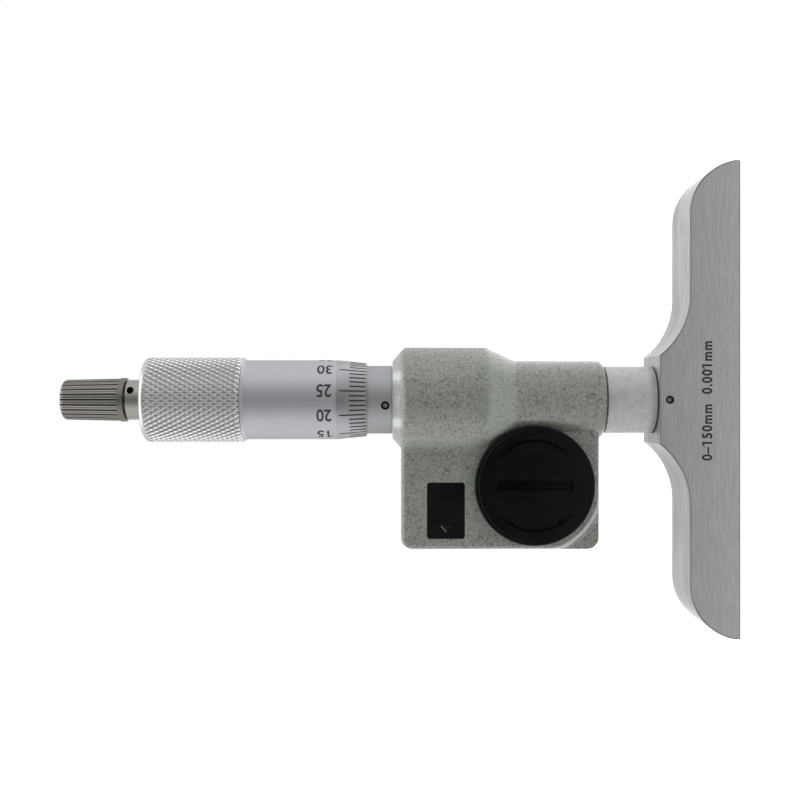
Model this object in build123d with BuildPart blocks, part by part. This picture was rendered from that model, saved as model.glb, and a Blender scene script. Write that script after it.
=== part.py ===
"""Digital depth micrometer, standing on its base.

The spindle axis is Z. The origin is the centre of the base's measuring face, and the
thimble is at the top. The battery side faces -Y and the display side faces +Y.
"""

import os
from math import atan2, degrees, pi

from build123d import *

# Fits
fit_gap = 0.02  # radial play of pieces that are pressed, bonded or screwed together
running_gap = 0.03  # radial play of shafts that turn or slide
cover_gap = 0.05  # play around covers, buttons and the window
face_gap = 0.1  # play between faces that pass each other
cut_margin = 1.0  # how far a cut reaches past the face it opens

# Reference base
base_length = 100.0
base_depth = 16.0
arm_height = 10.5
shoulder_height = 16.8
shoulder_width = 18.6
flare_start = 22.0  # where the hollow flare leaves the top of each arm
end_round_start = 38.8  # where the rounded end leaves the top of each arm
end_face_height = 1.2
edge_break = 0.25
rod_hole_radius = 2.25
rod_hole_length = 5.0
base_screw_radius = 0.85
base_screw_drop = 2.1  # below the shoulder

# Stem
stem_exposed = 10.8
stem_depth = 22.2  # how far the stem goes into the housing
stem_groove_width = 0.35  # the dark line beside the barrel
stem_groove_depth = 0.3
spigot_radius = 5.0
guide_length = 10.0
guide_relief_radius = 4.2
guide_lead = 1.0  # length of the taper from a guide to the relief

# Housing, barrel
bore_radius = 7.2
bore_overlap = 2.0  # how far the barrel's blank reaches into the bore that is cut from it
small_barrel_radius = 8.4
small_barrel_length = 18.9
small_barrel_round = 1.3
cone_start_round = 3.0
cone_end_round = 2.0
cone_length = 5.9
big_barrel_radius = 11.2
nose_setback = 0.65  # from the upper side of the box to where the nose starts
nose_length = 2.5
nose_radius = 8.26
nose_round = 1.5
nose_edge_round = 0.3
barrel_screw_radius = 1.3
barrel_screw_length = 1.0
barrel_screw_height = 3.2  # above the lower end of the barrel

# Housing, box
box_start = 1.25  # above the lower end of the barrel
box_height = 41.9
box_edge = 31.65  # from the axis to the outer edge of the box
front_edge = 8.0  # from the axis to the inner edge of the front
box_back = 4.9
box_front = 12.0
box_corner = 2.4
box_back_round = 1.0
box_wall = 1.8
box_back_wall = 1.6
electronics_floor = 9.2  # the plane that the circuit board lies on
axis_wall = 2.2  # between the bore and the pocket
screw_inset = 3.0
screw_post_radius = 2.0
screw_radius = 0.8
screw_depth = 4.0
screw_head_radius = 1.5
screw_head_height = 0.8

# Battery bay
battery_x = -18.0
battery_up = 13.95  # from the lower side of the box
battery_radius = 10.0
battery_height = 3.2
bay_gap = 0.25
bay_seat = 1.3  # how far the seat of the cover stands out from the back
bay_floor = 1.6
cover_flange_radius = 12.6
spot_face_gap = 0.15  # around the cover, where it cuts into the barrel
cover_flange_height = 1.6
cover_edge_round = 0.4
cover_thread_radius = 11.2
cover_thread_length = 1.2
cover_wall = 1.0
cover_web = 1.4
coin_slot_length = 15.8
coin_slot_width = 2.0
coin_slot_depth = 0.9
arrow_radius = 9.45
arrow_width = 0.6
arrow_depth = 0.25
arrow_start = -46.0  # from the +X direction, seen from -Y
arrow_sweep = 88.5
arrow_head = 1.3
seal_section = 0.38
seal_sides = 8  # of the ring's section
corner_relief_radius = 13.8  # where the lower corner starts to fall away
corner_relief_width = 2.0
corner_relief_drop = 1.1
contact_width = 2.0
contact_thickness = 0.3
contact_pad = 8.0

# Data port
port_x = -23.45
port_drop = 5.45  # from the upper side of the box to the upper edge of the port
port_rise = 2.65  # from the bay's cup to the lower edge of the port
port_length = 11.9
port_corner = 0.6
port_cover_thickness = 1.3
port_recess = 0.15
port_mark_width = 2.4
port_mark_length = 1.5
port_mark_offset = 3.15  # from the middle of the cover
port_mark_height = 0.12
socket_wall = 1.1
socket_shoulder = 0.3
socket_depth = 5.9
socket_floor = 0.8
socket_contact_count = 5
socket_contact_pitch = 1.7
socket_contact_width = 0.8
socket_contact_thickness = 0.15

# Front
gasket_thickness = 0.4
gasket_inset = 0.3
bezel_thickness = 2.6
bezel_round = 0.8
window_x = -11.8
window_drop = 11.75  # from the upper side of the box
window_width = 29.0
window_height = 12.5
window_thickness = 1.2
window_ledge = 1.2
window_corner = 1.0
lcd_thickness = 1.8
lcd_inset = 0.5
board_thickness = 1.0
chip_size = 7.0
chip_height = 1.0
board_screw_radius = 0.6
board_screw_head = 1.1
board_screw_length = 1.8
board_screw_inset = 2.4  # from the edge of the board
board_screw_up = 20.65  # from the lower side of the box
board_post_radius = 1.8
button_radius = 3.0
button_pitch = 9.5
button_x = -11.8
button_up = 11.65  # from the lower side of the box
button_out = 0.6
button_flange_width = 0.6
button_flange_height = 0.6
button_web = 1.4  # thickness of the bezel around a button
button_travel = 0.5
plunger_radius = 1.0
dome_radius = 2.0
dome_height = 0.5

# Spindle and encoder
spindle_radius = 3.5
rod_bore_radius = 2.03
spindle_clearance = 1.0  # above the rod hole
feed_travel = 25.0
key_radius = 0.5
key_depth = 0.55
thread_radius = 4.0
thread_lead = 2.0  # length of the taper below the thread
spindle_chamfer = 0.3
rotor_hub_radius = 4.9
rotor_radius = 6.6
rotor_thickness = 1.4
bush_length = 5.0
washer_thickness = 0.7
encoder_gap = 0.4
stator_thickness = 1.2
stator_bore_radius = 4.3
ribbon_thickness = 0.2
ribbon_out = 1.2  # from the bore's wall into the pocket
ribbon_window = 1.0

# Sleeve and nut
inner_sleeve_radius = 6.3
inner_sleeve_length = 38.2  # above the housing
sleeve_radius = 7.29
sleeve_length = 33.3
sleeve_hole_radius = 0.9
sleeve_hole_x = -1.2
sleeve_hole_height = 1.4
nut_thread_length = 12.0
thread_clearance = 0.3  # below the nut thread
nut_start = 0.6  # above the sleeve
nut_length = 4.0
nut_radius = 7.0
slit_count = 3
slit_width = 0.8

# Thimble
sleeve_exposed = 5.5
thimble_edge_radius = 7.84
bevel_length = 6.3
thimble_radius = 8.5
thimble_plain_length = 19.45
grip_radius = 9.1
grip_length = 21.75
grip_chamfer_length = 0.8
grip_round = 1.2
thimble_bore_radius = 7.45
hub_length = 10.6
hub_large_radius = 3.9
hub_small_radius = 3.6
top_recess_radius = 4.9
top_recess_depth = 2.3

# Rod clamp cap
cap_radius = 4.3
cap_exposed = 3.7
cap_thread_radius = 3.2
cap_web = 0.5
cap_hole_radius = 0.76
cap_hole_x = 2.0
cap_hole_height = 2.66  # above the thimble
cap_hole_depth = 1.25
clamp_washer_thickness = 0.5
clamp_washer_hole = 1.0
collar_radius = 2.6
collar_height = 0.43
post_radius = 1.9
post_flat = 1.5  # from the axis to each flat
post_length = 11.4

# Ratchet
knob_flange_radius = 4.72
knob_flange_height = 1.1
knob_radius = 4.56
knob_end_radius = 4.28
knob_length = 13.55
knob_end_round = 0.8
knob_flange_round = 0.2
knob_web = 2.0
flute_count = 24
flute_width = 0.5
flute_depth = 0.3
flute_end = 0.15  # plain length next to the flange
tooth_count = 12
tooth_height = 0.4
tooth_inner_radius = 2.3
disc_radius = 3.3
disc_thickness = 1.6
disc_key_width = 1.0
spring_wire = 0.22
spring_sides = 6  # of the wire's section
spring_coils = 4
retainer_head_radius = 3.2
retainer_head_height = 1.4
retainer_shank_radius = 0.9
retainer_shank_length = 5.0
retainer_slot = 0.6

# Heights along the spindle axis
barrel_start = shoulder_height + stem_exposed
stem_top = barrel_start + stem_depth
cone_start = barrel_start + small_barrel_length
cone_end = cone_start + cone_length
box_low = barrel_start + box_start
box_top = box_low + box_height
nose_start = box_top - nose_setback
housing_top = nose_start + nose_length
bush_top = stem_top + bush_length
washer_top = bush_top + washer_thickness
rotor_disc_start = washer_top + face_gap
rotor_top = rotor_disc_start + rotor_thickness
stator_start = rotor_top + encoder_gap
stator_top = stator_start + stator_thickness
sleeve_start = housing_top + face_gap
sleeve_top = sleeve_start + sleeve_length
inner_sleeve_top = housing_top + inner_sleeve_length
nut_thread_start = inner_sleeve_top - nut_thread_length
thimble_start = housing_top + sleeve_exposed
bevel_end = thimble_start + bevel_length
grip_start = bevel_end + thimble_plain_length
thimble_top = grip_start + grip_length
hub_top = thimble_top - top_recess_depth
hub_start = hub_top - hub_length
spindle_start = rod_hole_length + spindle_clearance
cap_top = thimble_top + cap_exposed
cap_start = hub_top + face_gap
clamp_top = cap_top - cap_web
spindle_top = clamp_top - clamp_washer_thickness - 2 * face_gap
knob_start = cap_top + collar_height + fit_gap
knob_top = knob_start + knob_length
post_top = cap_top + post_length
tooth_start = knob_start + knob_web
disc_start = tooth_start + tooth_height
disc_top = disc_start + disc_thickness

# Box and front
box_centre_z = (box_low + box_top) / 2
battery_z = box_low + battery_up
port_high = box_top - port_drop
port_low = battery_z + battery_radius + bay_gap + bay_floor + port_rise
port_z = (port_low + port_high) / 2
port_width = port_high - port_low
window_z = box_top - window_drop
board_screw_z = box_low + board_screw_up
button_z = box_low + button_up
front_centre_x = (front_edge - box_edge) / 2
front_width = front_edge + box_edge
pocket_edge = box_edge - box_wall
pocket_inner = bore_radius + axis_wall
pocket_low = box_low + box_wall
pocket_top = box_top - box_wall
seat_face = box_back + bay_seat
cover_face = seat_face + cover_flange_height
thread_end = seat_face - cover_thread_length - face_gap
battery_back = cover_face - cover_web
battery_front = battery_back - battery_height - 2 * cover_gap
bay_bottom = battery_front - contact_thickness - cover_gap
bezel_back = box_front + gasket_thickness
bezel_front = bezel_back + bezel_thickness
board_front = electronics_floor + board_thickness
pocket_front = box_front - electronics_floor
corner_posts = [
    (x, z)
    for x in (screw_inset - box_edge, front_edge - screw_inset)
    for z in (box_low + screw_inset, box_top - screw_inset)
]
button_places = [(button_x + step * button_pitch, button_z) for step in (-1, 0, 1)]
board_screw_places = [
    (front_edge - box_wall - board_screw_inset, board_screw_z),
    (board_screw_inset - pocket_edge, board_screw_z),
]

axis_plane = Plane.XZ  # local x is X, local y is Z, and extrusion goes towards -Y
battery_axis = Axis((battery_x, 0, battery_z), (0, -1, 0))


def at_y(y):
    """Plane square to Y at this Y, drawn in X and Z and extruded towards -Y."""
    return Plane.XZ.offset(-y)


def turned(*outline):
    """Revolve a closed outline of (radius, height) points about the spindle axis."""
    with BuildSketch(axis_plane) as profile:
        with BuildLine():
            Polyline(*outline, close=True)
        make_face()
    revolve(profile.sketch, axis=Axis.Z)


os.makedirs("parts", exist_ok=True)


# Reference base: hollow flares from the shoulder to the arms, rounded arm ends
half_length = base_length / 2
half_shoulder = shoulder_width / 2
with BuildPart() as base:
    with BuildSketch(at_y(base_depth / 2)):
        with BuildLine():
            Line((0, 0), (half_length, 0))
            Line((half_length, 0), (half_length, end_face_height))
            TangentArc(
                (end_round_start, arm_height),
                (half_length, end_face_height),
                tangent=(1, 0),
            )
            Line((end_round_start, arm_height), (flare_start, arm_height))
            TangentArc(
                (flare_start, arm_height),
                (half_shoulder, shoulder_height),
                tangent=(-1, 0),
            )
            Line((half_shoulder, shoulder_height), (0, shoulder_height))
            mirror(about=Plane.YZ)
        make_face()
    extrude(amount=base_depth)
    side_faces = base.faces().filter_by(Axis.Y)
    chamfer(side_faces.edges(), edge_break)
    with Locations((0, 0, shoulder_height)):
        Hole(rod_hole_radius)
    with Locations((0, 0, shoulder_height)):
        Hole(spigot_radius + fit_gap, depth=shoulder_height - rod_hole_length)
    with BuildSketch(at_y(-base_depth / 2)):
        with Locations((0, shoulder_height - base_screw_drop)):
            Circle(base_screw_radius + fit_gap)
    extrude(amount=-base_depth / 2, mode=Mode.SUBTRACT)
base.part.label = "base"
export_step(base.part, "parts/base.step")

# Grub screw that holds the stem's spigot in the base
with BuildPart() as base_set_screw:
    with BuildSketch(at_y(face_gap - base_depth / 2)):
        with Locations((0, shoulder_height - base_screw_drop)):
            Circle(base_screw_radius)
    extrude(amount=-(base_depth / 2 - spigot_radius - 2 * face_gap))
    with BuildSketch(at_y(face_gap - base_depth / 2)):
        with Locations((0, shoulder_height - base_screw_drop)):
            RegularPolygon(base_screw_radius * 0.5, 6)
    extrude(amount=-base_screw_radius, mode=Mode.SUBTRACT)
base_set_screw.part.label = "base_set_screw"
export_step(base_set_screw.part, "parts/base_set_screw.step")

# Stem: tube from the base into the housing, with a guide for the spindle at each end
stem_radius = bore_radius - fit_gap
guide_radius = spindle_radius + running_gap
spigot_start = rod_hole_length + fit_gap
with BuildPart() as stem:
    turned(
        (guide_radius, spigot_start),
        (spigot_radius, spigot_start),
        (spigot_radius, shoulder_height),
        (stem_radius, shoulder_height),
        (stem_radius, barrel_start - stem_groove_width),
        (stem_radius - stem_groove_depth, barrel_start - stem_groove_width),
        (stem_radius - stem_groove_depth, barrel_start),
        (stem_radius, barrel_start),
        (stem_radius, stem_top),
        (guide_radius, stem_top),
        (guide_radius, stem_top - guide_length),
        (guide_relief_radius, stem_top - guide_length - guide_lead),
        (guide_relief_radius, spigot_start + guide_length + guide_lead),
        (guide_radius, spigot_start + guide_length),
    )
stem.part.label = "stem"
export_step(stem.part, "parts/stem.step")

# Housing: cast barrel and box in one piece
with BuildPart() as housing:
    # Box towards -X, with a soft edge around its back
    with BuildSketch(at_y(-box_back)):
        with Locations((-box_edge / 2, box_centre_z)):
            RectangleRounded(box_edge, box_height, box_corner)
    extrude(amount=-(box_back + box_front))
    fillet(housing.faces().sort_by(Axis.Y)[0].edges(), box_back_round)
    with BuildSketch(at_y(0)):
        with Locations((front_centre_x, box_centre_z)):
            RectangleRounded(front_width, box_height, box_corner)
    extrude(amount=-box_front)

    # Turned barrel with its cone and its nose
    with BuildSketch(axis_plane):
        with BuildLine():
            FilletPolyline(
                (bore_radius - bore_overlap, barrel_start),
                (small_barrel_radius, barrel_start),
                (small_barrel_radius, cone_start),
                (big_barrel_radius, cone_end),
                (big_barrel_radius, nose_start),
                (nose_radius, housing_top),
                (bore_radius - bore_overlap, housing_top),
                radius=[
                    0,
                    small_barrel_round,
                    cone_start_round,
                    cone_end_round,
                    nose_round,
                    nose_edge_round,
                    0,
                ],
                close=True,
            )
        make_face()
    revolve(axis=Axis.Z)

    # The lower corner falls away in an S-shaped step around the battery bay
    relief_end = corner_relief_radius + corner_relief_width
    relief_level = box_back - corner_relief_drop
    relief_middle = ((corner_relief_radius + relief_end) / 2, (box_back + relief_level) / 2)
    with BuildSketch(Plane((battery_x, 0, battery_z), x_dir=(-1, 0, 0), z_dir=(0, 0, 1))):
        with BuildLine():
            TangentArc((corner_relief_radius, box_back), relief_middle, tangent=(1, 0))
            TangentArc((relief_end, relief_level), relief_middle, tangent=(-1, 0))
            Polyline(
                (relief_end, relief_level),
                (relief_end + box_corner * 3, relief_level),
                (relief_end + box_corner * 3, box_back + cut_margin),
                (corner_relief_radius, box_back + cut_margin),
                (corner_relief_radius, box_back),
            )
        make_face()
    revolve(axis=battery_axis, revolution_arc=90, mode=Mode.SUBTRACT)

    # Round seat of the battery cover, spot-faced into the side of the barrel
    with BuildSketch(at_y(-seat_face)):
        with Locations((battery_x, battery_z)):
            Circle(cover_flange_radius - face_gap)
    extrude(amount=-(seat_face - box_back + box_back_wall))
    with BuildSketch(at_y(-seat_face)):
        with Locations((battery_x, battery_z)):
            Circle(cover_flange_radius + spot_face_gap)
    extrude(amount=big_barrel_radius - seat_face, mode=Mode.SUBTRACT)

    # Pocket behind the board, the shallow pocket that the board lies in, and the bay's cup
    with BuildSketch(at_y(box_back_wall - box_back)):
        with BuildLine():
            Polyline(
                (-pocket_edge, pocket_low),
                (-pocket_inner, pocket_low),
                (-pocket_inner, pocket_top),
                (-pocket_edge, pocket_top),
                close=True,
            )
        make_face()
        with Locations(*corner_posts):
            Circle(screw_post_radius, mode=Mode.SUBTRACT)
        with Locations(*board_screw_places):
            Circle(board_post_radius, mode=Mode.SUBTRACT)
    extrude(amount=-(electronics_floor + box_back - box_back_wall), mode=Mode.SUBTRACT)
    with BuildSketch(at_y(box_front)):
        with Locations((front_centre_x, box_centre_z)):
            Rectangle(front_width - 2 * box_wall, box_height - 2 * box_wall)
        with Locations(*corner_posts):
            Circle(screw_post_radius, mode=Mode.SUBTRACT)
    extrude(amount=pocket_front, mode=Mode.SUBTRACT)
    with BuildSketch(at_y(box_back_wall - box_back)):
        with Locations((battery_x, battery_z)):
            Circle(battery_radius + bay_gap + bay_floor)
    extrude(amount=-(box_back - box_back_wall - bay_bottom + bay_floor))

    # Through bore for the stem, the encoder and the inner sleeve
    with BuildSketch(Plane.XY.offset(barrel_start)):
        Circle(bore_radius)
    extrude(amount=housing_top - barrel_start, mode=Mode.SUBTRACT)

    # Battery bay: seal step, thread, cell and the side contact's notch
    bay_steps = [
        (cover_thread_radius + 2 * seal_section + 2 * fit_gap, seat_face - 2 * seal_section),
        (cover_thread_radius + running_gap, thread_end),
        (battery_radius + bay_gap, bay_bottom),
    ]
    for step_radius, step_depth in bay_steps:
        with BuildSketch(at_y(-seat_face)):
            with Locations((battery_x, battery_z)):
                Circle(step_radius)
        extrude(amount=step_depth - seat_face, mode=Mode.SUBTRACT)
    with BuildSketch(at_y(-bay_bottom)):
        with Locations((battery_x, battery_z)):
            Rectangle(contact_thickness + 2 * cover_gap, contact_width + 2 * cover_gap)
        with Locations((battery_x - battery_radius - bay_gap, battery_z)):
            Rectangle(2 * contact_thickness + 2 * cover_gap, contact_width + 2 * cover_gap)
    extrude(amount=-(bay_floor + face_gap), mode=Mode.SUBTRACT)
    with BuildSketch(at_y(-thread_end)):
        with Locations((battery_x - battery_radius - bay_gap, battery_z)):
            Rectangle(2 * contact_thickness + 2 * cover_gap, contact_width + 2 * cover_gap)
    extrude(amount=-(thread_end - bay_bottom), mode=Mode.SUBTRACT)

    # Data port
    with BuildSketch(at_y(-box_back)):
        with Locations((port_x, port_z)):
            RectangleRounded(port_length, port_width, port_corner)
    extrude(amount=-(box_back_wall + face_gap), mode=Mode.SUBTRACT)

    # Window in the wall between the bore and the pocket, for the encoder's ribbon
    with BuildSketch(Plane.XY.offset(stator_start - face_gap)):
        with Locations((-pocket_inner, 0)):
            Rectangle(4 * axis_wall, ribbon_window)
    extrude(amount=stator_thickness + 2 * face_gap, mode=Mode.SUBTRACT)

    # Screw holes: barrel, front posts and circuit board
    with BuildSketch(at_y(-small_barrel_radius)):
        with Locations((0, barrel_start + barrel_screw_height)):
            Circle(barrel_screw_radius + fit_gap)
    extrude(amount=-(small_barrel_radius - bore_radius + cut_margin), mode=Mode.SUBTRACT)
    with BuildSketch(at_y(box_front)):
        with Locations(*corner_posts):
            Circle(screw_radius + fit_gap)
    extrude(amount=screw_depth + face_gap, mode=Mode.SUBTRACT)
    with BuildSketch(at_y(electronics_floor)):
        with Locations(*board_screw_places):
            Circle(board_screw_radius + fit_gap)
    extrude(amount=board_screw_length + face_gap, mode=Mode.SUBTRACT)
housing.part.label = "housing"
export_step(housing.part, "parts/housing.step")

# Painted-over set screw that holds the stem in the barrel
with BuildPart() as barrel_set_screw:
    with BuildSketch(at_y(-(bore_radius + fit_gap + barrel_screw_length))):
        with Locations((0, barrel_start + barrel_screw_height)):
            Circle(barrel_screw_radius)
    extrude(amount=-barrel_screw_length)
barrel_set_screw.part.label = "barrel_set_screw"
export_step(barrel_set_screw.part, "parts/barrel_set_screw.step")

# Gasket between the casting and the front
with BuildPart() as front_gasket:
    with BuildSketch(at_y(bezel_back)):
        with Locations((front_centre_x, box_centre_z)):
            RectangleRounded(
                front_width - 2 * gasket_inset, box_height - 2 * gasket_inset, box_corner - gasket_inset
            )
            Rectangle(front_width - 2 * box_wall, box_height - 2 * box_wall, mode=Mode.SUBTRACT)
    extrude(amount=gasket_thickness)
front_gasket.part.label = "front_gasket"
export_step(front_gasket.part, "parts/front_gasket.step")

# Front: moulded frame with the window, three button holes and four screw holes
with BuildPart() as front_bezel:
    with BuildSketch(at_y(bezel_front)):
        with Locations((front_centre_x, box_centre_z)):
            RectangleRounded(front_width, box_height, box_corner)
    extrude(amount=bezel_thickness)
    fillet(front_bezel.faces().sort_by(Axis.Y)[-1].edges(), bezel_round)
    with BuildSketch(at_y(bezel_front)):
        with Locations((window_x, window_z)):
            RectangleRounded(
                window_width + 2 * cover_gap, window_height + 2 * cover_gap, window_corner
            )
    extrude(amount=window_thickness + cover_gap, mode=Mode.SUBTRACT)
    with BuildSketch(at_y(bezel_front)):
        with Locations((window_x, window_z)):
            Rectangle(window_width - 2 * window_ledge, window_height - 2 * window_ledge)
        with Locations(*button_places):
            Circle(button_radius + cover_gap)
        with Locations(*corner_posts):
            Circle(screw_radius + cover_gap)
    extrude(amount=bezel_thickness, mode=Mode.SUBTRACT)
    with BuildSketch(at_y(bezel_front)):
        with Locations(*corner_posts):
            Circle(screw_head_radius + cover_gap)
    extrude(amount=screw_head_height + 2 * cover_gap, mode=Mode.SUBTRACT)
    with BuildSketch(at_y(bezel_front - button_web)):
        with Locations(*button_places):
            Circle(button_radius + button_flange_width + 2 * cover_gap)
    extrude(amount=bezel_thickness - button_web, mode=Mode.SUBTRACT)
front_bezel.part.label = "front_bezel"
export_step(front_bezel.part, "parts/front_bezel.step")

# Four screws that hold the front
with BuildPart() as front_screws:
    with BuildSketch(at_y(bezel_front - 2 * cover_gap)):
        with Locations(*corner_posts):
            Circle(screw_head_radius)
    extrude(amount=screw_head_height)
    with BuildSketch(at_y(bezel_front - 2 * cover_gap - screw_head_height)):
        with Locations(*corner_posts):
            Circle(screw_radius)
    extrude(amount=bezel_front - 2 * cover_gap - screw_head_height - box_front + screw_depth)
    with BuildSketch(at_y(bezel_front - 2 * cover_gap)):
        with Locations(*corner_posts):
            Rectangle(2 * screw_head_radius, screw_head_radius / 4)
            Rectangle(screw_head_radius / 4, 2 * screw_head_radius)
    extrude(amount=screw_head_height / 2, mode=Mode.SUBTRACT)
front_screws.part.label = "front_screws"
export_step(front_screws.part, "parts/front_screws.step")

# Clear window over the display
with BuildPart() as display_window:
    with BuildSketch(at_y(bezel_front - cover_gap)):
        with Locations((window_x, window_z)):
            RectangleRounded(window_width, window_height, window_corner)
    extrude(amount=window_thickness)
display_window.part.label = "display_window"
export_step(display_window.part, "parts/display_window.step")

# Display
with BuildPart() as display_panel:
    with BuildSketch(at_y(board_front + lcd_thickness)):
        with Locations((window_x, window_z)):
            Rectangle(window_width - 2 * lcd_inset, window_height - lcd_inset)
    extrude(amount=lcd_thickness)
display_panel.part.label = "display_panel"
export_step(display_panel.part, "parts/display_panel.step")

# Circuit board with its processor on the back
with BuildPart() as circuit_board:
    with BuildSketch(at_y(board_front)):
        with Locations((front_centre_x, box_centre_z)):
            Rectangle(
                front_width - 2 * box_wall - 2 * cover_gap,
                box_height - 2 * box_wall - 2 * cover_gap,
            )
        with Locations(*corner_posts):
            Circle(screw_post_radius + cover_gap, mode=Mode.SUBTRACT)
        with Locations(*board_screw_places):
            Circle(board_screw_radius + cover_gap, mode=Mode.SUBTRACT)
    extrude(amount=board_thickness)
    with BuildSketch(at_y(electronics_floor)):
        with Locations((-pocket_inner - chip_size, button_z - chip_size / 2)):
            Rectangle(chip_size, chip_size)
    extrude(amount=chip_height)
circuit_board.part.label = "circuit_board"
export_step(circuit_board.part, "parts/circuit_board.step")

# Two screws that hold the board
with BuildPart() as board_screws:
    with BuildSketch(at_y(board_front + board_screw_radius)):
        with Locations(*board_screw_places):
            Circle(board_screw_head)
    extrude(amount=board_screw_radius)
    with BuildSketch(at_y(board_front)):
        with Locations(*board_screw_places):
            Circle(board_screw_radius)
    extrude(amount=board_thickness + board_screw_length)
board_screws.part.label = "board_screws"
export_step(board_screws.part, "parts/board_screws.step")

# Snap domes under the buttons
with BuildPart() as switch_domes:
    with BuildSketch(at_y(board_front + dome_height)):
        with Locations(*button_places):
            Circle(dome_radius)
    extrude(amount=dome_height)
    chamfer(switch_domes.faces().sort_by(Axis.Y)[-3:].edges(), dome_height / 2)
switch_domes.part.label = "switch_domes"
export_step(switch_domes.part, "parts/switch_domes.step")

# Three push buttons, each with a flange behind the front and a plunger over its dome
button_face = bezel_front + button_out
flange_front = bezel_front - button_web - face_gap
flange_back = flange_front - button_flange_height
for button_name, place in zip(("power_button", "zero_button", "mode_button"), button_places):
    with BuildPart() as button:
        with BuildSketch(at_y(button_face)):
            with Locations(place):
                Circle(button_radius)
        extrude(amount=button_face - flange_back)
        chamfer(button.faces().sort_by(Axis.Y)[-1].edges(), button_out / 2)
        with BuildSketch(at_y(flange_front)):
            with Locations(place):
                Circle(button_radius + button_flange_width)
        extrude(amount=button_flange_height)
        with BuildSketch(at_y(flange_back)):
            with Locations(place):
                Circle(plunger_radius)
        extrude(amount=flange_back - board_front - dome_height - button_travel - face_gap)
    button.part.label = button_name
    export_step(button.part, f"parts/{button_name}.step")

# Coin cell
with BuildPart() as battery:
    with BuildSketch(at_y(-(battery_back - cover_gap))):
        with Locations((battery_x, battery_z)):
            Circle(battery_radius)
    extrude(amount=-battery_height)
    chamfer(battery.edges().filter_by(GeomType.CIRCLE), battery_height / 12)
battery.part.label = "battery"
export_step(battery.part, "parts/battery.step")

# Contact under the cell, with its tail up to the board
with BuildPart() as battery_base_contact:
    with BuildSketch(at_y(-(bay_bottom + contact_thickness))):
        with Locations((battery_x, battery_z)):
            RectangleRounded(contact_pad, contact_pad / 2, contact_pad / 8)
    extrude(amount=-contact_thickness)
    with BuildSketch(at_y(-bay_bottom)):
        with Locations((battery_x, battery_z)):
            Rectangle(contact_thickness, contact_width)
    extrude(amount=-(bay_bottom + electronics_floor))
battery_base_contact.part.label = "battery_base_contact"
export_step(battery_base_contact.part, "parts/battery_base_contact.step")

# Contact at the side of the cell, with its tail up to the board
side_contact_x = battery_x - battery_radius - bay_gap
with BuildPart() as battery_side_contact:
    with BuildSketch(at_y(-(thread_end - face_gap))):
        with Locations((side_contact_x, battery_z)):
            Rectangle(contact_thickness, contact_width)
    extrude(amount=-(thread_end - face_gap + electronics_floor))
battery_side_contact.part.label = "battery_side_contact"
export_step(battery_side_contact.part, "parts/battery_side_contact.step")

# Battery cover: flange, threaded skirt, coin slot and two turning arrows
arrow_arc = CenterArc((0, 0), arrow_radius, arrow_start, arrow_sweep)
with BuildPart() as battery_cover:
    with BuildSketch(at_y(-cover_face)):
        with Locations((battery_x, battery_z)):
            Circle(cover_flange_radius)
    extrude(amount=-(cover_flange_height - fit_gap))
    fillet(battery_cover.faces().sort_by(Axis.Y)[0].edges(), cover_edge_round)
    with BuildSketch(at_y(-(seat_face - cover_thread_length))):
        with Locations((battery_x, battery_z)):
            Circle(cover_thread_radius)
    extrude(amount=cover_thread_length + cover_flange_height / 2)
    with BuildSketch(at_y(-(seat_face - cover_thread_length))):
        with Locations((battery_x, battery_z)):
            Circle(cover_thread_radius - cover_wall)
    extrude(amount=cover_thread_length + cover_flange_height - cover_web, mode=Mode.SUBTRACT)
    with BuildSketch(at_y(-cover_face)):
        with Locations((battery_x, battery_z)):
            Rectangle(coin_slot_width, coin_slot_length)
    extrude(amount=-coin_slot_depth, mode=Mode.SUBTRACT)
    with BuildSketch(at_y(-cover_face)):
        with Locations((battery_x, battery_z)):
            with PolarLocations(0, 2):
                SlotArc(arrow_arc, arrow_width)
            with PolarLocations(arrow_radius, 2, start_angle=arrow_start + arrow_sweep):
                Polygon((-arrow_head / 2, 0), (arrow_head / 2, 0), (0, arrow_head), align=None)
    extrude(amount=-arrow_depth, mode=Mode.SUBTRACT)
battery_cover.part.label = "battery_cover"
export_step(battery_cover.part, "parts/battery_cover.step")

# Ring seal in the step of the bay, around the cover's skirt
seal_radius = cover_thread_radius + seal_section + fit_gap
with BuildPart() as battery_cover_seal:
    with BuildSketch(Plane((battery_x, 0, battery_z), x_dir=(-1, 0, 0), z_dir=(0, 0, 1))):
        with Locations((seal_radius, seat_face - seal_section)):
            RegularPolygon(
                seal_section - fit_gap, seal_sides, major_radius=False, rotation=180 / seal_sides
            )
    revolve(axis=battery_axis)
battery_cover_seal.part.label = "battery_cover_seal"
export_step(battery_cover_seal.part, "parts/battery_cover_seal.step")

# Cover of the data port, with a small raised mark at its lower end
port_cover_face = box_back - port_recess
mark_x = port_x - port_mark_offset
with BuildPart() as data_port_cover:
    with BuildSketch(at_y(-port_cover_face)):
        with Locations((port_x, port_z)):
            RectangleRounded(
                port_length - 2 * cover_gap, port_width - 2 * cover_gap, port_corner
            )
    extrude(amount=-port_cover_thickness)
    with BuildSketch(at_y(-port_cover_face)):
        Polygon(
            (mark_x, port_z - port_mark_width / 2),
            (mark_x - port_mark_length, port_z),
            (mark_x, port_z + port_mark_width / 2),
            align=None,
        )
    extrude(amount=port_mark_height)
data_port_cover.part.label = "data_port_cover"
export_step(data_port_cover.part, "parts/data_port_cover.step")

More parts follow.
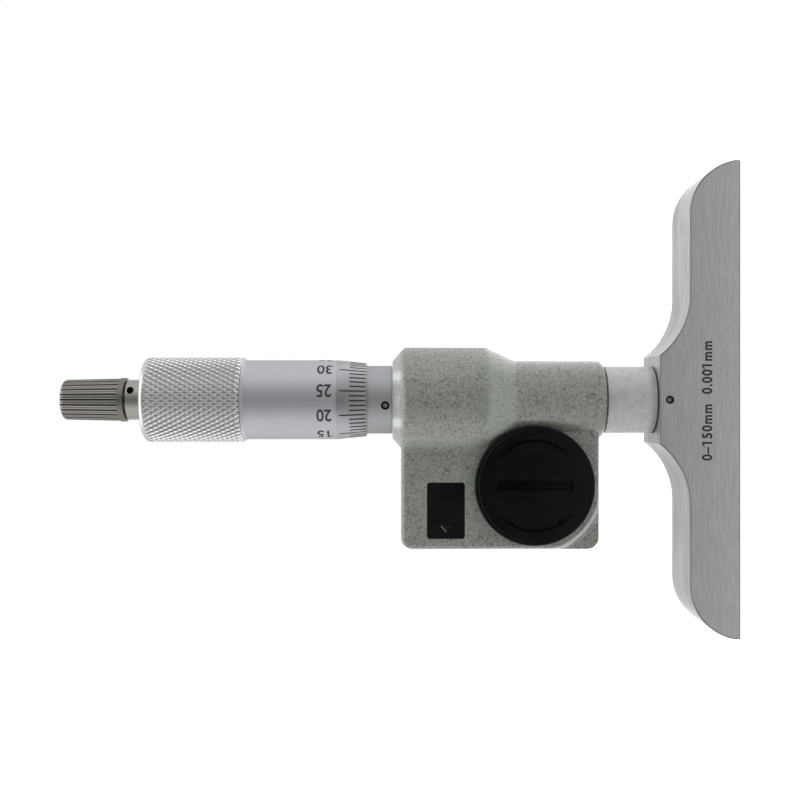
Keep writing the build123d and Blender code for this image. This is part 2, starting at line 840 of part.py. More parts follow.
# Socket behind the data port: a cup against the inside of the back wall
socket_front = box_back - box_back_wall
socket_length = port_length + 2 * socket_shoulder
socket_width = port_width + 2 * socket_shoulder
socket_wall_z = port_z + socket_width / 2 - socket_wall
contact_row = [
    (port_x + (step - (socket_contact_count - 1) / 2) * socket_contact_pitch,
     socket_wall_z - socket_contact_thickness / 2)
    for step in range(socket_contact_count)
]
with BuildPart() as data_socket:
    with BuildSketch(at_y(-socket_front)):
        with Locations((port_x, port_z)):
            Rectangle(socket_length, socket_width)
    extrude(amount=-socket_depth)
    with BuildSketch(at_y(-socket_front)):
        with Locations((port_x, port_z)):
            Rectangle(socket_length - 2 * socket_wall, socket_width - 2 * socket_wall)
    extrude(amount=socket_floor - socket_depth, mode=Mode.SUBTRACT)
    with BuildSketch(at_y(-socket_front)):
        with Locations(*contact_row):
            Rectangle(
                socket_contact_width + 2 * fit_gap, socket_contact_thickness + 2 * fit_gap
            )
    extrude(amount=-socket_depth - face_gap, mode=Mode.SUBTRACT)
data_socket.part.label = "data_socket"
export_step(data_socket.part, "parts/data_socket.step")

# Contacts along one wall of the socket, with their tails up to the board
with BuildPart() as socket_contacts:
    with BuildSketch(at_y(socket_wall - socket_front)):
        with Locations(*contact_row):
            Rectangle(socket_contact_width, socket_contact_thickness)
    extrude(amount=-(socket_front - socket_wall + electronics_floor))
socket_contacts.part.label = "socket_contacts"
export_step(socket_contacts.part, "parts/socket_contacts.step")

# Bush that the encoder's rotor turns in, and its thrust washer
with BuildPart() as rotor_bush:
    turned(
        (rotor_hub_radius + running_gap, stem_top),
        (stem_radius, stem_top),
        (stem_radius, bush_top),
        (rotor_hub_radius + running_gap, bush_top),
    )
rotor_bush.part.label = "rotor_bush"
export_step(rotor_bush.part, "parts/rotor_bush.step")
with BuildPart() as thrust_washer:
    turned(
        (rotor_hub_radius + cover_gap, bush_top),
        (rotor_radius, bush_top),
        (rotor_radius, washer_top),
        (rotor_hub_radius + cover_gap, washer_top),
    )
thrust_washer.part.label = "thrust_washer"
export_step(thrust_washer.part, "parts/thrust_washer.step")

# Encoder: rotor with its key to the spindle, fixed stator and the stator's ribbon
rotor_bore_radius = spindle_radius + running_gap
hub_bottom = stem_top + face_gap
key_height = (hub_bottom + washer_top) / 2
key_tip = spindle_radius - key_depth + cover_gap
with BuildPart() as encoder_rotor:
    turned(
        (rotor_bore_radius, hub_bottom),
        (rotor_hub_radius, hub_bottom),
        (rotor_hub_radius, rotor_disc_start),
        (rotor_radius, rotor_disc_start),
        (rotor_radius, rotor_top),
        (rotor_bore_radius, rotor_top),
    )
    with BuildSketch(Plane.YZ.offset(spindle_radius - key_radius)):
        with Locations((0, key_height)):
            Circle(key_radius + fit_gap)
    extrude(amount=rotor_hub_radius - spindle_radius + 2 * key_radius, mode=Mode.SUBTRACT)
encoder_rotor.part.label = "encoder_rotor"
export_step(encoder_rotor.part, "parts/encoder_rotor.step")
with BuildPart() as rotor_key:
    with BuildSketch(Plane.YZ.offset(key_tip)):
        with Locations((0, key_height)):
            Circle(key_radius)
    extrude(amount=rotor_hub_radius - cover_gap - key_tip)
rotor_key.part.label = "rotor_key"
export_step(rotor_key.part, "parts/rotor_key.step")
with BuildPart() as encoder_stator:
    turned(
        (stator_bore_radius, stator_start),
        (stem_radius, stator_start),
        (stem_radius, stator_top),
        (stator_bore_radius, stator_top),
    )
encoder_stator.part.label = "encoder_stator"
export_step(encoder_stator.part, "parts/encoder_stator.step")
ribbon_x = pocket_inner + ribbon_out
with BuildPart() as encoder_ribbon:
    with BuildSketch(Plane.XY.offset(stator_start)):
        with BuildLine():
            Polyline(
                (-stem_radius - fit_gap, -ribbon_thickness / 2),
                (-ribbon_x, -ribbon_thickness / 2),
                (-ribbon_x, electronics_floor),
                (-ribbon_x + ribbon_thickness, electronics_floor),
                (-ribbon_x + ribbon_thickness, ribbon_thickness / 2),
                (-stem_radius - fit_gap, ribbon_thickness / 2),
                close=True,
            )
        make_face()
    extrude(amount=stator_thickness)
encoder_ribbon.part.label = "encoder_ribbon"
export_step(encoder_ribbon.part, "parts/encoder_ribbon.step")

# Inner sleeve: flange in the housing's bore, long neck, slit nut thread at its end
with BuildPart() as inner_sleeve:
    turned(
        (thread_radius + thread_clearance, stator_top),
        (stem_radius, stator_top),
        (stem_radius, housing_top),
        (inner_sleeve_radius, housing_top),
        (inner_sleeve_radius, inner_sleeve_top),
        (thread_radius + cover_gap, inner_sleeve_top),
        (thread_radius + cover_gap, nut_thread_start),
        (thread_radius + thread_clearance, nut_thread_start),
    )
    with BuildSketch(Plane.XY.offset(inner_sleeve_top)):
        with PolarLocations(inner_sleeve_radius, slit_count):
            Rectangle(inner_sleeve_radius, slit_width)
    extrude(amount=face_gap - nut_thread_length, mode=Mode.SUBTRACT)
inner_sleeve.part.label = "inner_sleeve"
export_step(inner_sleeve.part, "parts/inner_sleeve.step")

# Nut that takes up the play of the thread
nut_low = sleeve_top + nut_start
with BuildPart() as adjusting_nut:
    turned(
        (inner_sleeve_radius + fit_gap, nut_low),
        (nut_radius, nut_low),
        (nut_radius, nut_low + nut_length),
        (inner_sleeve_radius + fit_gap, nut_low + nut_length),
    )
    with BuildSketch(Plane.XY.offset(nut_low + nut_length)):
        with PolarLocations(nut_radius, 2):
            Rectangle(slit_width, slit_width)
    extrude(amount=-nut_length / 2, mode=Mode.SUBTRACT)
adjusting_nut.part.label = "adjusting_nut"
export_step(adjusting_nut.part, "parts/adjusting_nut.step")

# Graduated sleeve with its spanner hole, turned to set the zero
with BuildPart() as sleeve:
    turned(
        (inner_sleeve_radius + running_gap, sleeve_start),
        (sleeve_radius, sleeve_start),
        (sleeve_radius, sleeve_top),
        (inner_sleeve_radius + running_gap, sleeve_top),
    )
    with BuildSketch(at_y(-sleeve_radius)):
        with Locations((sleeve_hole_x, sleeve_start + sleeve_hole_height)):
            Circle(sleeve_hole_radius)
    extrude(amount=-inner_sleeve_radius / 2, mode=Mode.SUBTRACT)
sleeve.part.label = "sleeve"
export_step(sleeve.part, "parts/sleeve.step")

# Spindle: hollow for the measuring rod, with a key groove, a thread and a taper
groove_start = key_height - key_radius - feed_travel - face_gap
groove_end = key_height + key_radius + face_gap
with BuildPart() as spindle:
    turned(
        (rod_bore_radius, spindle_start),
        (spindle_radius - spindle_chamfer, spindle_start),
        (spindle_radius, spindle_start + spindle_chamfer),
        (spindle_radius, housing_top),
        (thread_radius, housing_top + thread_lead),
        (thread_radius, inner_sleeve_top),
        (hub_large_radius, inner_sleeve_top + face_gap),
        (hub_large_radius, hub_start),
        (hub_small_radius, hub_top),
        (cap_thread_radius, hub_top),
        (cap_thread_radius, spindle_top),
        (rod_bore_radius, spindle_top),
    )
    with BuildSketch(Plane.XY.offset(groove_start)):
        with Locations((spindle_radius + key_radius - key_depth, 0)):
            Rectangle(2 * key_radius, 2 * key_radius + 2 * cover_gap)
    extrude(amount=groove_end - groove_start, mode=Mode.SUBTRACT)
spindle.part.label = "spindle"
export_step(spindle.part, "parts/spindle.step")

# Thimble: bevelled edge, plain band, grip, and the hub that sits on the spindle's taper
with BuildPart() as thimble:
    with BuildSketch(axis_plane):
        with BuildLine():
            FilletPolyline(
                (thimble_bore_radius, thimble_start),
                (thimble_edge_radius, thimble_start),
                (thimble_radius, bevel_end),
                (thimble_radius, grip_start),
                (grip_radius, grip_start + grip_chamfer_length),
                (grip_radius, thimble_top),
                (top_recess_radius, thimble_top),
                (top_recess_radius, hub_top),
                (hub_small_radius + fit_gap, hub_top),
                (hub_large_radius + fit_gap, hub_start),
                (thimble_bore_radius, hub_start),
                radius=[0, 0, 0, 0, 0, grip_round, 0, 0, 0, 0, 0],
                close=True,
            )
        make_face()
    revolve(axis=Axis.Z)
thimble.part.label = "thimble"
export_step(thimble.part, "parts/thimble.step")

# Cap that clamps the head of the rod, with the post that carries the ratchet
with BuildPart() as rod_clamp_cap:
    turned(
        (cap_thread_radius + cover_gap, cap_start),
        (cap_radius, cap_start),
        (cap_radius, cap_top),
        (collar_radius, cap_top),
        (collar_radius, cap_top + collar_height),
        (post_radius, cap_top + collar_height),
        (post_radius, post_top),
        (retainer_shank_radius + fit_gap, post_top),
        (retainer_shank_radius + fit_gap, post_top - retainer_shank_length - face_gap),
        (0, post_top - retainer_shank_length - face_gap),
        (0, clamp_top),
        (cap_thread_radius + cover_gap, clamp_top),
    )
    with BuildSketch(Plane.XY.offset(tooth_start)):
        with GridLocations(2 * (post_flat + post_radius), 0, 2, 1):
            Rectangle(2 * post_radius, 3 * post_radius)
    extrude(amount=post_top - tooth_start, mode=Mode.SUBTRACT)
    with BuildSketch(at_y(-cap_radius)):
        with Locations((cap_hole_x, thimble_top + cap_hole_height)):
            Circle(cap_hole_radius)
    extrude(amount=-cap_hole_depth, mode=Mode.SUBTRACT)
rod_clamp_cap.part.label = "rod_clamp_cap"
export_step(rod_clamp_cap.part, "parts/rod_clamp_cap.step")

# Washer in the cap that presses on the rod's head
with BuildPart() as clamp_washer:
    turned(
        (clamp_washer_hole, clamp_top - face_gap - clamp_washer_thickness),
        (cap_thread_radius, clamp_top - face_gap - clamp_washer_thickness),
        (cap_thread_radius, clamp_top - face_gap),
        (clamp_washer_hole, clamp_top - face_gap),
    )
clamp_washer.part.label = "clamp_washer"
export_step(clamp_washer.part, "parts/clamp_washer.step")

# Ratchet knob: flange, tapered body with flutes, hollow for the spring, toothed web
flange_top = knob_start + knob_flange_height
flute_start = flange_top + flute_end
flute_length = knob_length - knob_flange_height
knob_taper = atan2(knob_radius - knob_end_radius, knob_length - knob_flange_height)
flute_centre = (knob_radius + knob_end_radius) / 2
tooth_width = 2 * pi * tooth_inner_radius / tooth_count - running_gap
with BuildPart() as ratchet_knob:
    with BuildSketch(axis_plane):
        with BuildLine():
            FilletPolyline(
                (post_radius + cover_gap, knob_start),
                (knob_flange_radius, knob_start),
                (knob_flange_radius, flange_top),
                (knob_radius, flange_top),
                (knob_end_radius, knob_top),
                (disc_radius + face_gap, knob_top),
                (disc_radius + face_gap, tooth_start),
                (post_radius + cover_gap, tooth_start),
                radius=[0, knob_flange_round, 0, 0, knob_end_round, 0, 0, 0],
                close=True,
            )
        make_face()
    revolve(axis=Axis.Z)
    with Locations((0, 0, flute_start + flute_length / 2)):
        with PolarLocations(flute_centre, flute_count):
            Box(
                2 * flute_depth,
                flute_width,
                flute_length,
                rotation=(0, -degrees(knob_taper), 0),
                mode=Mode.SUBTRACT,
            )
    with BuildSketch(Plane.YZ.offset(tooth_inner_radius)):
        Polygon(
            (0, tooth_start), (tooth_width, tooth_start), (tooth_width, disc_start), align=None
        )
    teeth = extrude(amount=disc_radius - tooth_inner_radius, mode=Mode.PRIVATE)
    with PolarLocations(0, tooth_count):
        add(teeth)
ratchet_knob.part.label = "ratchet_knob"
export_step(ratchet_knob.part, "parts/ratchet_knob.step")

# Toothed disc, keyed to the flats of the post and pressed on the knob's teeth
with BuildPart() as ratchet_disc:
    with BuildSketch(Plane.XY.offset(tooth_start + cover_gap)):
        Circle(disc_radius)
        Circle(post_radius + cover_gap, mode=Mode.SUBTRACT)
        with GridLocations(2 * (post_flat + cover_gap) + disc_key_width, 0, 2, 1):
            Rectangle(disc_key_width, 2 * post_flat)
    extrude(amount=disc_top - tooth_start - cover_gap)
    with BuildSketch(Plane.YZ.offset(tooth_inner_radius - face_gap)):
        Polygon(
            (-running_gap, tooth_start),
            (tooth_width + running_gap, tooth_start),
            (tooth_width + running_gap, disc_start + cover_gap),
            align=None,
        )
    notches = extrude(amount=disc_radius, mode=Mode.PRIVATE)
    with PolarLocations(0, tooth_count):
        add(notches, mode=Mode.SUBTRACT)
ratchet_disc.part.label = "ratchet_disc"
export_step(ratchet_disc.part, "parts/ratchet_disc.step")

# Coil spring between the disc and the retaining screw
spring_low = disc_top + spring_wire + fit_gap
spring_high = post_top - spring_wire - fit_gap
spring_radius = (post_radius + disc_radius) / 2
with BuildPart() as ratchet_spring:
    with BuildLine():
        coil = Helix(
            pitch=(spring_high - spring_low) / spring_coils,
            height=spring_high - spring_low,
            radius=spring_radius,
            center=(0, 0, spring_low),
        )
    with BuildSketch(Plane(coil @ 0, z_dir=coil % 0)):
        RegularPolygon(spring_wire, spring_sides)
    sweep(path=coil, is_frenet=True)
ratchet_spring.part.label = "ratchet_spring"
export_step(ratchet_spring.part, "parts/ratchet_spring.step")

# Screw in the post's end that holds the spring, the disc and the knob
with BuildPart() as ratchet_screw:
    turned(
        (0, post_top - retainer_shank_length),
        (retainer_shank_radius, post_top - retainer_shank_length),
        (retainer_shank_radius, post_top),
        (retainer_head_radius, post_top),
        (retainer_head_radius, post_top + retainer_head_height),
        (0, post_top + retainer_head_height),
    )
    with BuildSketch(Plane.XY.offset(post_top + retainer_head_height)):
        Rectangle(retainer_slot, 3 * retainer_head_radius)
    extrude(amount=-retainer_head_height / 2, mode=Mode.SUBTRACT)
ratchet_screw.part.label = "ratchet_screw"
export_step(ratchet_screw.part, "parts/ratchet_screw.step")
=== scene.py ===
"""Digital depth micrometer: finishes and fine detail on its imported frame.

The frame is in metres, with +Z up the spindle, the battery side towards -Y and the display
side towards +Y. Sizes here are in millimetres until they reach a mesh, and only the studio's
are in metres.
"""

from math import cos, pi, radians, sin

import bmesh
import bpy
from mathutils import Euler, Matrix, Vector


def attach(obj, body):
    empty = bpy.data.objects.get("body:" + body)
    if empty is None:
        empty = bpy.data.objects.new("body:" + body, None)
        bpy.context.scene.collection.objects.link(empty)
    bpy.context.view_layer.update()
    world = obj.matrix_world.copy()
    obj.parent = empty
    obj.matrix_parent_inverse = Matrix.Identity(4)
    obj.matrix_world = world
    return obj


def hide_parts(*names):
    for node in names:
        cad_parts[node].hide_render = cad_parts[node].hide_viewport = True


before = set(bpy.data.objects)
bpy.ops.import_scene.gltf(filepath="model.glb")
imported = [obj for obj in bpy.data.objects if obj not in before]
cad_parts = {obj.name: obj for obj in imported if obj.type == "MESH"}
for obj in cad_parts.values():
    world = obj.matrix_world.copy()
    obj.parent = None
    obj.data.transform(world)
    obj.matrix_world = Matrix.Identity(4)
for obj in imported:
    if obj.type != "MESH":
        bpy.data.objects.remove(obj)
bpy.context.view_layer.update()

MM = 0.001


# Base: a T-shaped bar of hardened steel, ground on its faces and lapped underneath. The
# range and the reading's step are etched in black on the battery side.
def linear(colour):
    """Linear RGBA of an sRGB hex colour."""
    channels = [int(colour[start : start + 2], 16) / 255 for start in (0, 2, 4)]
    return [c / 12.92 if c <= 0.04045 else ((c + 0.055) / 1.055) ** 2.4 for c in channels] + [1]


def start_finish(name, **values):
    """A new material and its shader, with the shader's own values set."""
    finish = bpy.data.materials.new(name)
    finish.use_nodes = True
    shader = finish.node_tree.nodes["Principled BSDF"]
    for key, value in values.items():
        shader.inputs[key.replace("_", " ").title().replace("Ior", "IOR")].default_value = value
    return finish, shader


def add_node(finish, kind, values=None, links=None, **settings):
    """Add a node to a material: its settings, its inputs' values and the links into it."""
    made = finish.node_tree.nodes.new(kind)
    for key, value in settings.items():
        setattr(made, key, value)
    for key, value in (values or {}).items():
        made.inputs[key].default_value = value
    for key, source in (links or {}).items():
        finish.node_tree.links.new(source, made.inputs[key])
    return made


def join(finish, source, target):
    """Link one socket to another."""
    finish.node_tree.links.new(source, target)


def dress(finish, *names):
    """Give nodes of the frame their material."""
    for name in names:
        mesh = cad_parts[name].data
        mesh.materials.clear()
        mesh.materials.append(finish)


def tint(finish, amount, colour):
    """Lay a colour over a finish, in the amount that a socket gives, zero to one."""
    target = finish.node_tree.nodes["Principled BSDF"].inputs["Base Color"]
    laid = add_node(
        finish,
        "ShaderNodeMix",
        {"B": linear(colour)},
        {"Factor": amount, "A": target.links[0].from_socket},
        data_type="RGBA",
    )
    join(finish, laid.outputs[2], target)


def brushed_metal(name, colours, roughness, stretch, grain, depth):
    """Metal with fine straight lines, whose size along X, Y and Z is stretch."""
    finish, shader = start_finish(name, metallic=1.0, roughness=roughness)
    place = add_node(finish, "ShaderNodeTexCoord").outputs["Object"]
    drawn = add_node(
        finish,
        "ShaderNodeMapping",
        {"Scale": [1 / (size * MM) for size in stretch]},
        {"Vector": place},
    )
    lines = add_node(
        finish,
        "ShaderNodeTexNoise",
        {"Scale": 1.0, "Detail": 3.0, "Roughness": 0.6},
        {"Vector": drawn.outputs["Vector"]},
    )
    tone = add_node(
        finish,
        "ShaderNodeMix",
        {"A": linear(colours[0]), "B": linear(colours[1])},
        {"Factor": lines.outputs["Fac"]},
        data_type="RGBA",
    )
    spread = add_node(
        finish,
        "ShaderNodeMapRange",
        {"To Min": roughness - grain, "To Max": roughness + grain},
        {"Value": lines.outputs["Fac"]},
    )
    bump = add_node(
        finish,
        "ShaderNodeBump",
        {"Strength": 0.35, "Distance": depth * MM},
        {"Height": lines.outputs["Fac"]},
    )
    join(finish, tone.outputs[2], shader.inputs["Base Color"])
    join(finish, spread.outputs["Result"], shader.inputs["Roughness"])
    join(finish, bump.outputs["Normal"], shader.inputs["Normal"])
    return finish


# Grinding leaves straight lines along the bar, which dull the reflections across them. The
# real lines are about 0.05 mm apart and are drawn coarser, so that they show.
ground_steel = brushed_metal(
    "ground_hardened_steel", ("949391", "cccbc9"), 0.36, (4, 0.24, 0.24), 0.07, 0.012
)
# Its broken edges, which face between the battery side and the flanks, are painted darker as
# shade.
# The flanks are left as drawn steel, with a painted highlight in patches where they face up.
steel_facing = add_node(
    ground_steel,
    "ShaderNodeSeparateXYZ",
    {},
    {"Vector": add_node(ground_steel, "ShaderNodeTexCoord").outputs["Normal"]},
)
steel_slant = add_node(
    ground_steel, "ShaderNodeMath", {}, {0: steel_facing.outputs["Y"]}, operation="ABSOLUTE"
)
steel_edge_shade = add_node(
    ground_steel,
    "ShaderNodeMath",
    {1: 0.5, 2: 0.485},
    {0: steel_slant.outputs["Value"]},
    operation="COMPARE",
)
steel_flank = add_node(
    ground_steel,
    "ShaderNodeMath",
    {1: 0.015},
    {0: steel_slant.outputs["Value"]},
    operation="LESS_THAN",
)
steel_along = add_node(
    ground_steel,
    "ShaderNodeMapping",
    {"Scale": (1 / (14 * MM), 1 / (3 * MM), 1 / (14 * MM))},
    {"Vector": add_node(ground_steel, "ShaderNodeTexCoord").outputs["Object"]},
)
steel_blotches = add_node(
    ground_steel,
    "ShaderNodeTexNoise",
    {"Scale": 1.0, "Detail": 5.0, "Roughness": 0.6},
    {"Vector": steel_along.outputs["Vector"]},
)
steel_patches = add_node(
    ground_steel,
    "ShaderNodeMapRange",
    {"From Min": 0.35, "From Max": 0.6, "To Min": 0.4, "To Max": 0.9},
    {"Value": steel_blotches.outputs["Fac"]},
)
steel_upward_light = add_node(
    ground_steel,
    "ShaderNodeMath",
    {},
    {0: steel_patches.outputs["Result"], 1: steel_facing.outputs["Z"]},
    operation="MULTIPLY",
)
steel_flank_highlight = add_node(
    ground_steel,
    "ShaderNodeMath",
    {},
    {0: steel_flank.outputs["Value"], 1: steel_upward_light.outputs["Value"]},
    operation="MULTIPLY",
)
tint(ground_steel, steel_flank_highlight.outputs["Value"], "e6e5e3")
tint(ground_steel, steel_edge_shade.outputs["Value"], "63625f")
dress(ground_steel, "base")

# Etched marks are matt and nearly black, a little uneven where the ink has worn.
etch_ink, etch_shader = start_finish("etched_black", roughness=0.7)
etch_noise = add_node(
    etch_ink,
    "ShaderNodeTexNoise",
    {"Scale": 1 / (0.3 * MM), "Detail": 2.0},
    {"Vector": add_node(etch_ink, "ShaderNodeTexCoord").outputs["Object"]},
)
etch_tone = add_node(
    etch_ink,
    "ShaderNodeMix",
    {"A": linear("141413"), "B": linear("34322f")},
    {"Factor": etch_noise.outputs["Fac"]},
    data_type="RGBA",
)
join(etch_ink, etch_tone.outputs[2], etch_shader.inputs["Base Color"])


def lettering(words, width, height, weight=0.012, spacing=1.0):
    """Flat letters in metres, from the origin along +X and +Y, fitted to a width and a height."""
    curve = bpy.data.curves.new(words, "FONT")
    curve.body = words
    curve.offset = weight
    curve.space_character = spacing
    curve.resolution_u = 6
    line = bpy.data.objects.new(words, curve)
    bpy.context.collection.objects.link(line)
    shape = bmesh.new()
    shape.from_mesh(bpy.data.meshes.new_from_object(line))
    bpy.data.objects.remove(line)
    bmesh.ops.remove_doubles(shape, verts=shape.verts, dist=1e-5)
    # The font's 1 is a bare bar, and on instruments it has a small flag.
    bars = []
    for face in shape.faces:
        verts = frozenset(
            vert for edge in face.edges for near in edge.link_faces for vert in near.verts
        )
        joined = {near for vert in verts for edge in vert.link_edges for near in edge.verts}
        if len(verts) == 4 and joined == verts and verts not in bars:
            bars.append(verts)
    for bar in bars:
        left = min(vert.co.x for vert in bar)
        top = max(vert.co.y for vert in bar)
        thick = max(vert.co.x for vert in bar) - left
        tall = top - min(vert.co.y for vert in bar)
        if thick < 0.3 * tall:
            tip = left - 1.5 * thick
            flag = ((left, 0), (tip, 0.19), (tip, 0.32), (left, 0.16))
            shape.faces.new([shape.verts.new((x, top - drop * tall, 0)) for x, drop in flag])
    low = Vector([min(vert.co[axis] for vert in shape.verts) for axis in range(3)])
    high = Vector([max(vert.co[axis] for vert in shape.verts) for axis in range(3)])
    bmesh.ops.translate(shape, verts=shape.verts, vec=-low)
    size = high - low
    bmesh.ops.scale(
        shape, verts=shape.verts, vec=(width * MM / size.x, height * MM / size.y, 1)
    )
    return shape


def add_piece(name, shape, finishes, body, crease=35):
    """Turn a bmesh into a piece on a body, smooth below the crease angle in degrees."""
    mesh = bpy.data.meshes.new(name)
    shape.to_mesh(mesh)
    shape.free()
    mesh.shade_smooth()
    mesh.set_sharp_from_angle(angle=radians(crease))
    for finish in finishes:
        mesh.materials.append(finish)
    piece = bpy.data.objects.new(name, mesh)
    bpy.context.collection.objects.link(piece)
    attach(piece, body)
    return piece


def stand_up(shape, side, x, y, z):
    """Stand a flat shape up at a place in millimetres, facing -Y for side 1 and +Y for -1."""
    place = Matrix(((side, 0, 0, x * MM), (0, 0, -side, y * MM), (0, 1, 0, z * MM), (0, 0, 0, 1)))
    bmesh.ops.transform(shape, verts=shape.verts, matrix=place)


marks_start, marks_face, marks_foot = -12.7, -8.015, 5.88
range_marks = lettering("0\u2013150mm  0.001mm", 24.9, 2.2, weight=0.032, spacing=1.16)
stand_up(range_marks, 1, marks_start, marks_face, marks_foot)
add_piece("range_marks", range_marks, [etch_ink], "frame")

# Small screws: blackened steel, a little oily. The base's grub screw has a black face, and the
# floor of its hexagon socket is painted lighter as a glint.
screw_steel = brushed_metal(
    "blackened_screw_steel", ("3c3c3d", "59595a"), 0.42, (0.4, 0.4, 0.4), 0.1, 0.01
)
dress(screw_steel, "front_screws", "board_screws", "rotor_key", "ratchet_screw")


def from_axis(finish, x, z):
    """Distance from an axis along Y through this place, given in millimetres."""
    flat = add_node(
        finish,
        "ShaderNodeVectorMath",
        {1: (1, 0, 1)},
        {0: add_node(finish, "ShaderNodeTexCoord").outputs["Object"]},
        operation="MULTIPLY",
    )
    distance = add_node(
        finish,
        "ShaderNodeVectorMath",
        {1: (x * MM, 0, z * MM)},
        {0: flat.outputs["Vector"]},
        operation="DISTANCE",
    )
    return distance.outputs["Value"]


# The lighter disc in the grub screw's socket is a painted glint.
grub_height = 14.7
socket_inner, socket_outer = 0.38, 0.46
grub_steel = brushed_metal(
    "blackened_grub_screw", ("1a1918", "201f1e"), 0.35, (0.4, 0.4, 0.4), 0.05, 0.004
)
grub_socket_glint = add_node(
    grub_steel,
    "ShaderNodeMapRange",
    {"From Min": socket_inner * MM, "From Max": socket_outer * MM, "To Min": 1.0, "To Max": 0.0},
    {"Value": from_axis(grub_steel, 0, grub_height)},
)
tint(grub_steel, grub_socket_glint.outputs["Result"], "b2b1ae")
dress(grub_steel, "base_set_screw")

# Stem and inner sleeve: steel tubes, turned, ground and satin chromed. The lines run around
# them and the chrome spreads the reflections widely. Painted shade darkens the stem at its two
# joints, as a thin line at each and a fade above the base, and handling leaves faint patches.
def band(finish, along, middle, half, edge):
    """One within half of a place along an axis, in millimetres, and fading to zero at edge."""
    offset = add_node(
        finish, "ShaderNodeMath", {1: middle * MM}, {0: along}, operation="SUBTRACT"
    )
    distance = add_node(
        finish, "ShaderNodeMath", {}, {0: offset.outputs["Value"]}, operation="ABSOLUTE"
    )
    fade = add_node(
        finish,
        "ShaderNodeMapRange",
        {"From Min": half * MM, "From Max": edge * MM, "To Min": 1.0, "To Max": 0.0},
        {"Value": distance.outputs["Value"]},
    )
    return fade.outputs["Result"]


base_joint, barrel_joint = 16.9, 27.5
tube_chrome = brushed_metal(
    "satin_chromed_tube", ("c0c0c2", "d0d0d2"), 0.64, (40, 40, 0.14), 0.05, 0.006
)
tube_place = add_node(tube_chrome, "ShaderNodeTexCoord")
tube_height = add_node(
    tube_chrome, "ShaderNodeSeparateXYZ", {}, {"Vector": tube_place.outputs["Object"]}
)
tube_shade = add_node(
    tube_chrome,
    "ShaderNodeMath",
    {1: 0.4},
    {0: band(tube_chrome, tube_height.outputs["Z"], base_joint, 0.2, 1.8)},
    operation="MULTIPLY",
)
tube_foot_shade = add_node(
    tube_chrome,
    "ShaderNodeMath",
    {},
    {
        0: band(tube_chrome, tube_height.outputs["Z"], base_joint, 0.12, 0.2),
        1: tube_shade.outputs["Value"],
    },
    operation="MAXIMUM",
)
tube_joints_shade = add_node(
    tube_chrome,
    "ShaderNodeMath",
    {},
    {
        0: tube_foot_shade.outputs["Value"],
        1: band(tube_chrome, tube_height.outputs["Z"], barrel_joint, 0.12, 0.2),
    },
    operation="MAXIMUM",
)
tube_clouds = add_node(
    tube_chrome,
    "ShaderNodeTexNoise",
    {"Scale": 1 / (1.8 * MM), "Detail": 5.0},
    {"Vector": tube_place.outputs["Object"]},
)
tube_haze = add_node(
    tube_chrome,
    "ShaderNodeMapRange",
    {"From Min": 0.42, "From Max": 0.62, "To Max": 0.2},
    {"Value": tube_clouds.outputs["Fac"]},
)
tint(tube_chrome, tube_haze.outputs["Result"], "8d8d92")
tint(tube_chrome, tube_joints_shade.outputs["Value"], "3b3b3a")
dress(tube_chrome, "stem", "inner_sleeve", "adjusting_nut")

# Housing: die-cast zinc under a grey-green crackle enamel. The enamel shrinks as it cures and
# draws into cells about 1 mm across, with fine dark lines where it opens.
enamel, enamel_shader = start_finish(
    "crackle_enamel", roughness=0.36, ior=1.5, coat_weight=0.8, coat_roughness=0.25
)
cell_width, line_share = 0.72, 0.14
warp_reach = 0.9
enamel_place = add_node(enamel, "ShaderNodeTexCoord").outputs["Object"]
enamel_warp = add_node(
    enamel,
    "ShaderNodeTexNoise",
    {"Scale": 1 / (0.8 * MM), "Detail": 3.0},
    {"Vector": enamel_place},
)
enamel_shift = add_node(
    enamel,
    "ShaderNodeVectorMath",
    {1: [warp_reach * MM] * 3},
    {0: enamel_warp.outputs["Color"], 2: enamel_place},
    operation="MULTIPLY_ADD",
)
enamel_cells = add_node(
    enamel,
    "ShaderNodeTexVoronoi",
    {"Scale": 1 / (cell_width * MM)},
    {"Vector": enamel_shift.outputs["Vector"]},
    feature="DISTANCE_TO_EDGE",
)
enamel_lines = add_node(
    enamel,
    "ShaderNodeMapRange",
    {"From Max": line_share, "To Min": 1.0, "To Max": 0.0},
    {"Value": enamel_cells.outputs["Distance"]},
    interpolation_type="SMOOTHSTEP",
)
enamel_breaks = add_node(
    enamel,
    "ShaderNodeTexNoise",
    {"Scale": 1 / (0.9 * MM), "Detail": 2.0},
    {"Vector": enamel_place},
)
enamel_strength = add_node(
    enamel,
    "ShaderNodeMapRange",
    {"From Min": 0.38, "From Max": 0.62, "To Min": 0.3},
    {"Value": enamel_breaks.outputs["Fac"]},
)
enamel_crack = add_node(
    enamel,
    "ShaderNodeMath",
    {},
    {0: enamel_lines.outputs["Result"], 1: enamel_strength.outputs["Result"]},
    operation="MULTIPLY",
)
enamel_body = add_node(
    enamel,
    "ShaderNodeMix",
    {"A": linear("7b8078"), "B": linear("9b9f97")},
    {"Factor": enamel_warp.outputs["Fac"]},
    data_type="RGBA",
)
enamel_tone = add_node(
    enamel,
    "ShaderNodeMix",
    {"B": linear("4a4e48")},
    {"Factor": enamel_crack.outputs["Value"], "A": enamel_body.outputs[2]},
    data_type="RGBA",
)
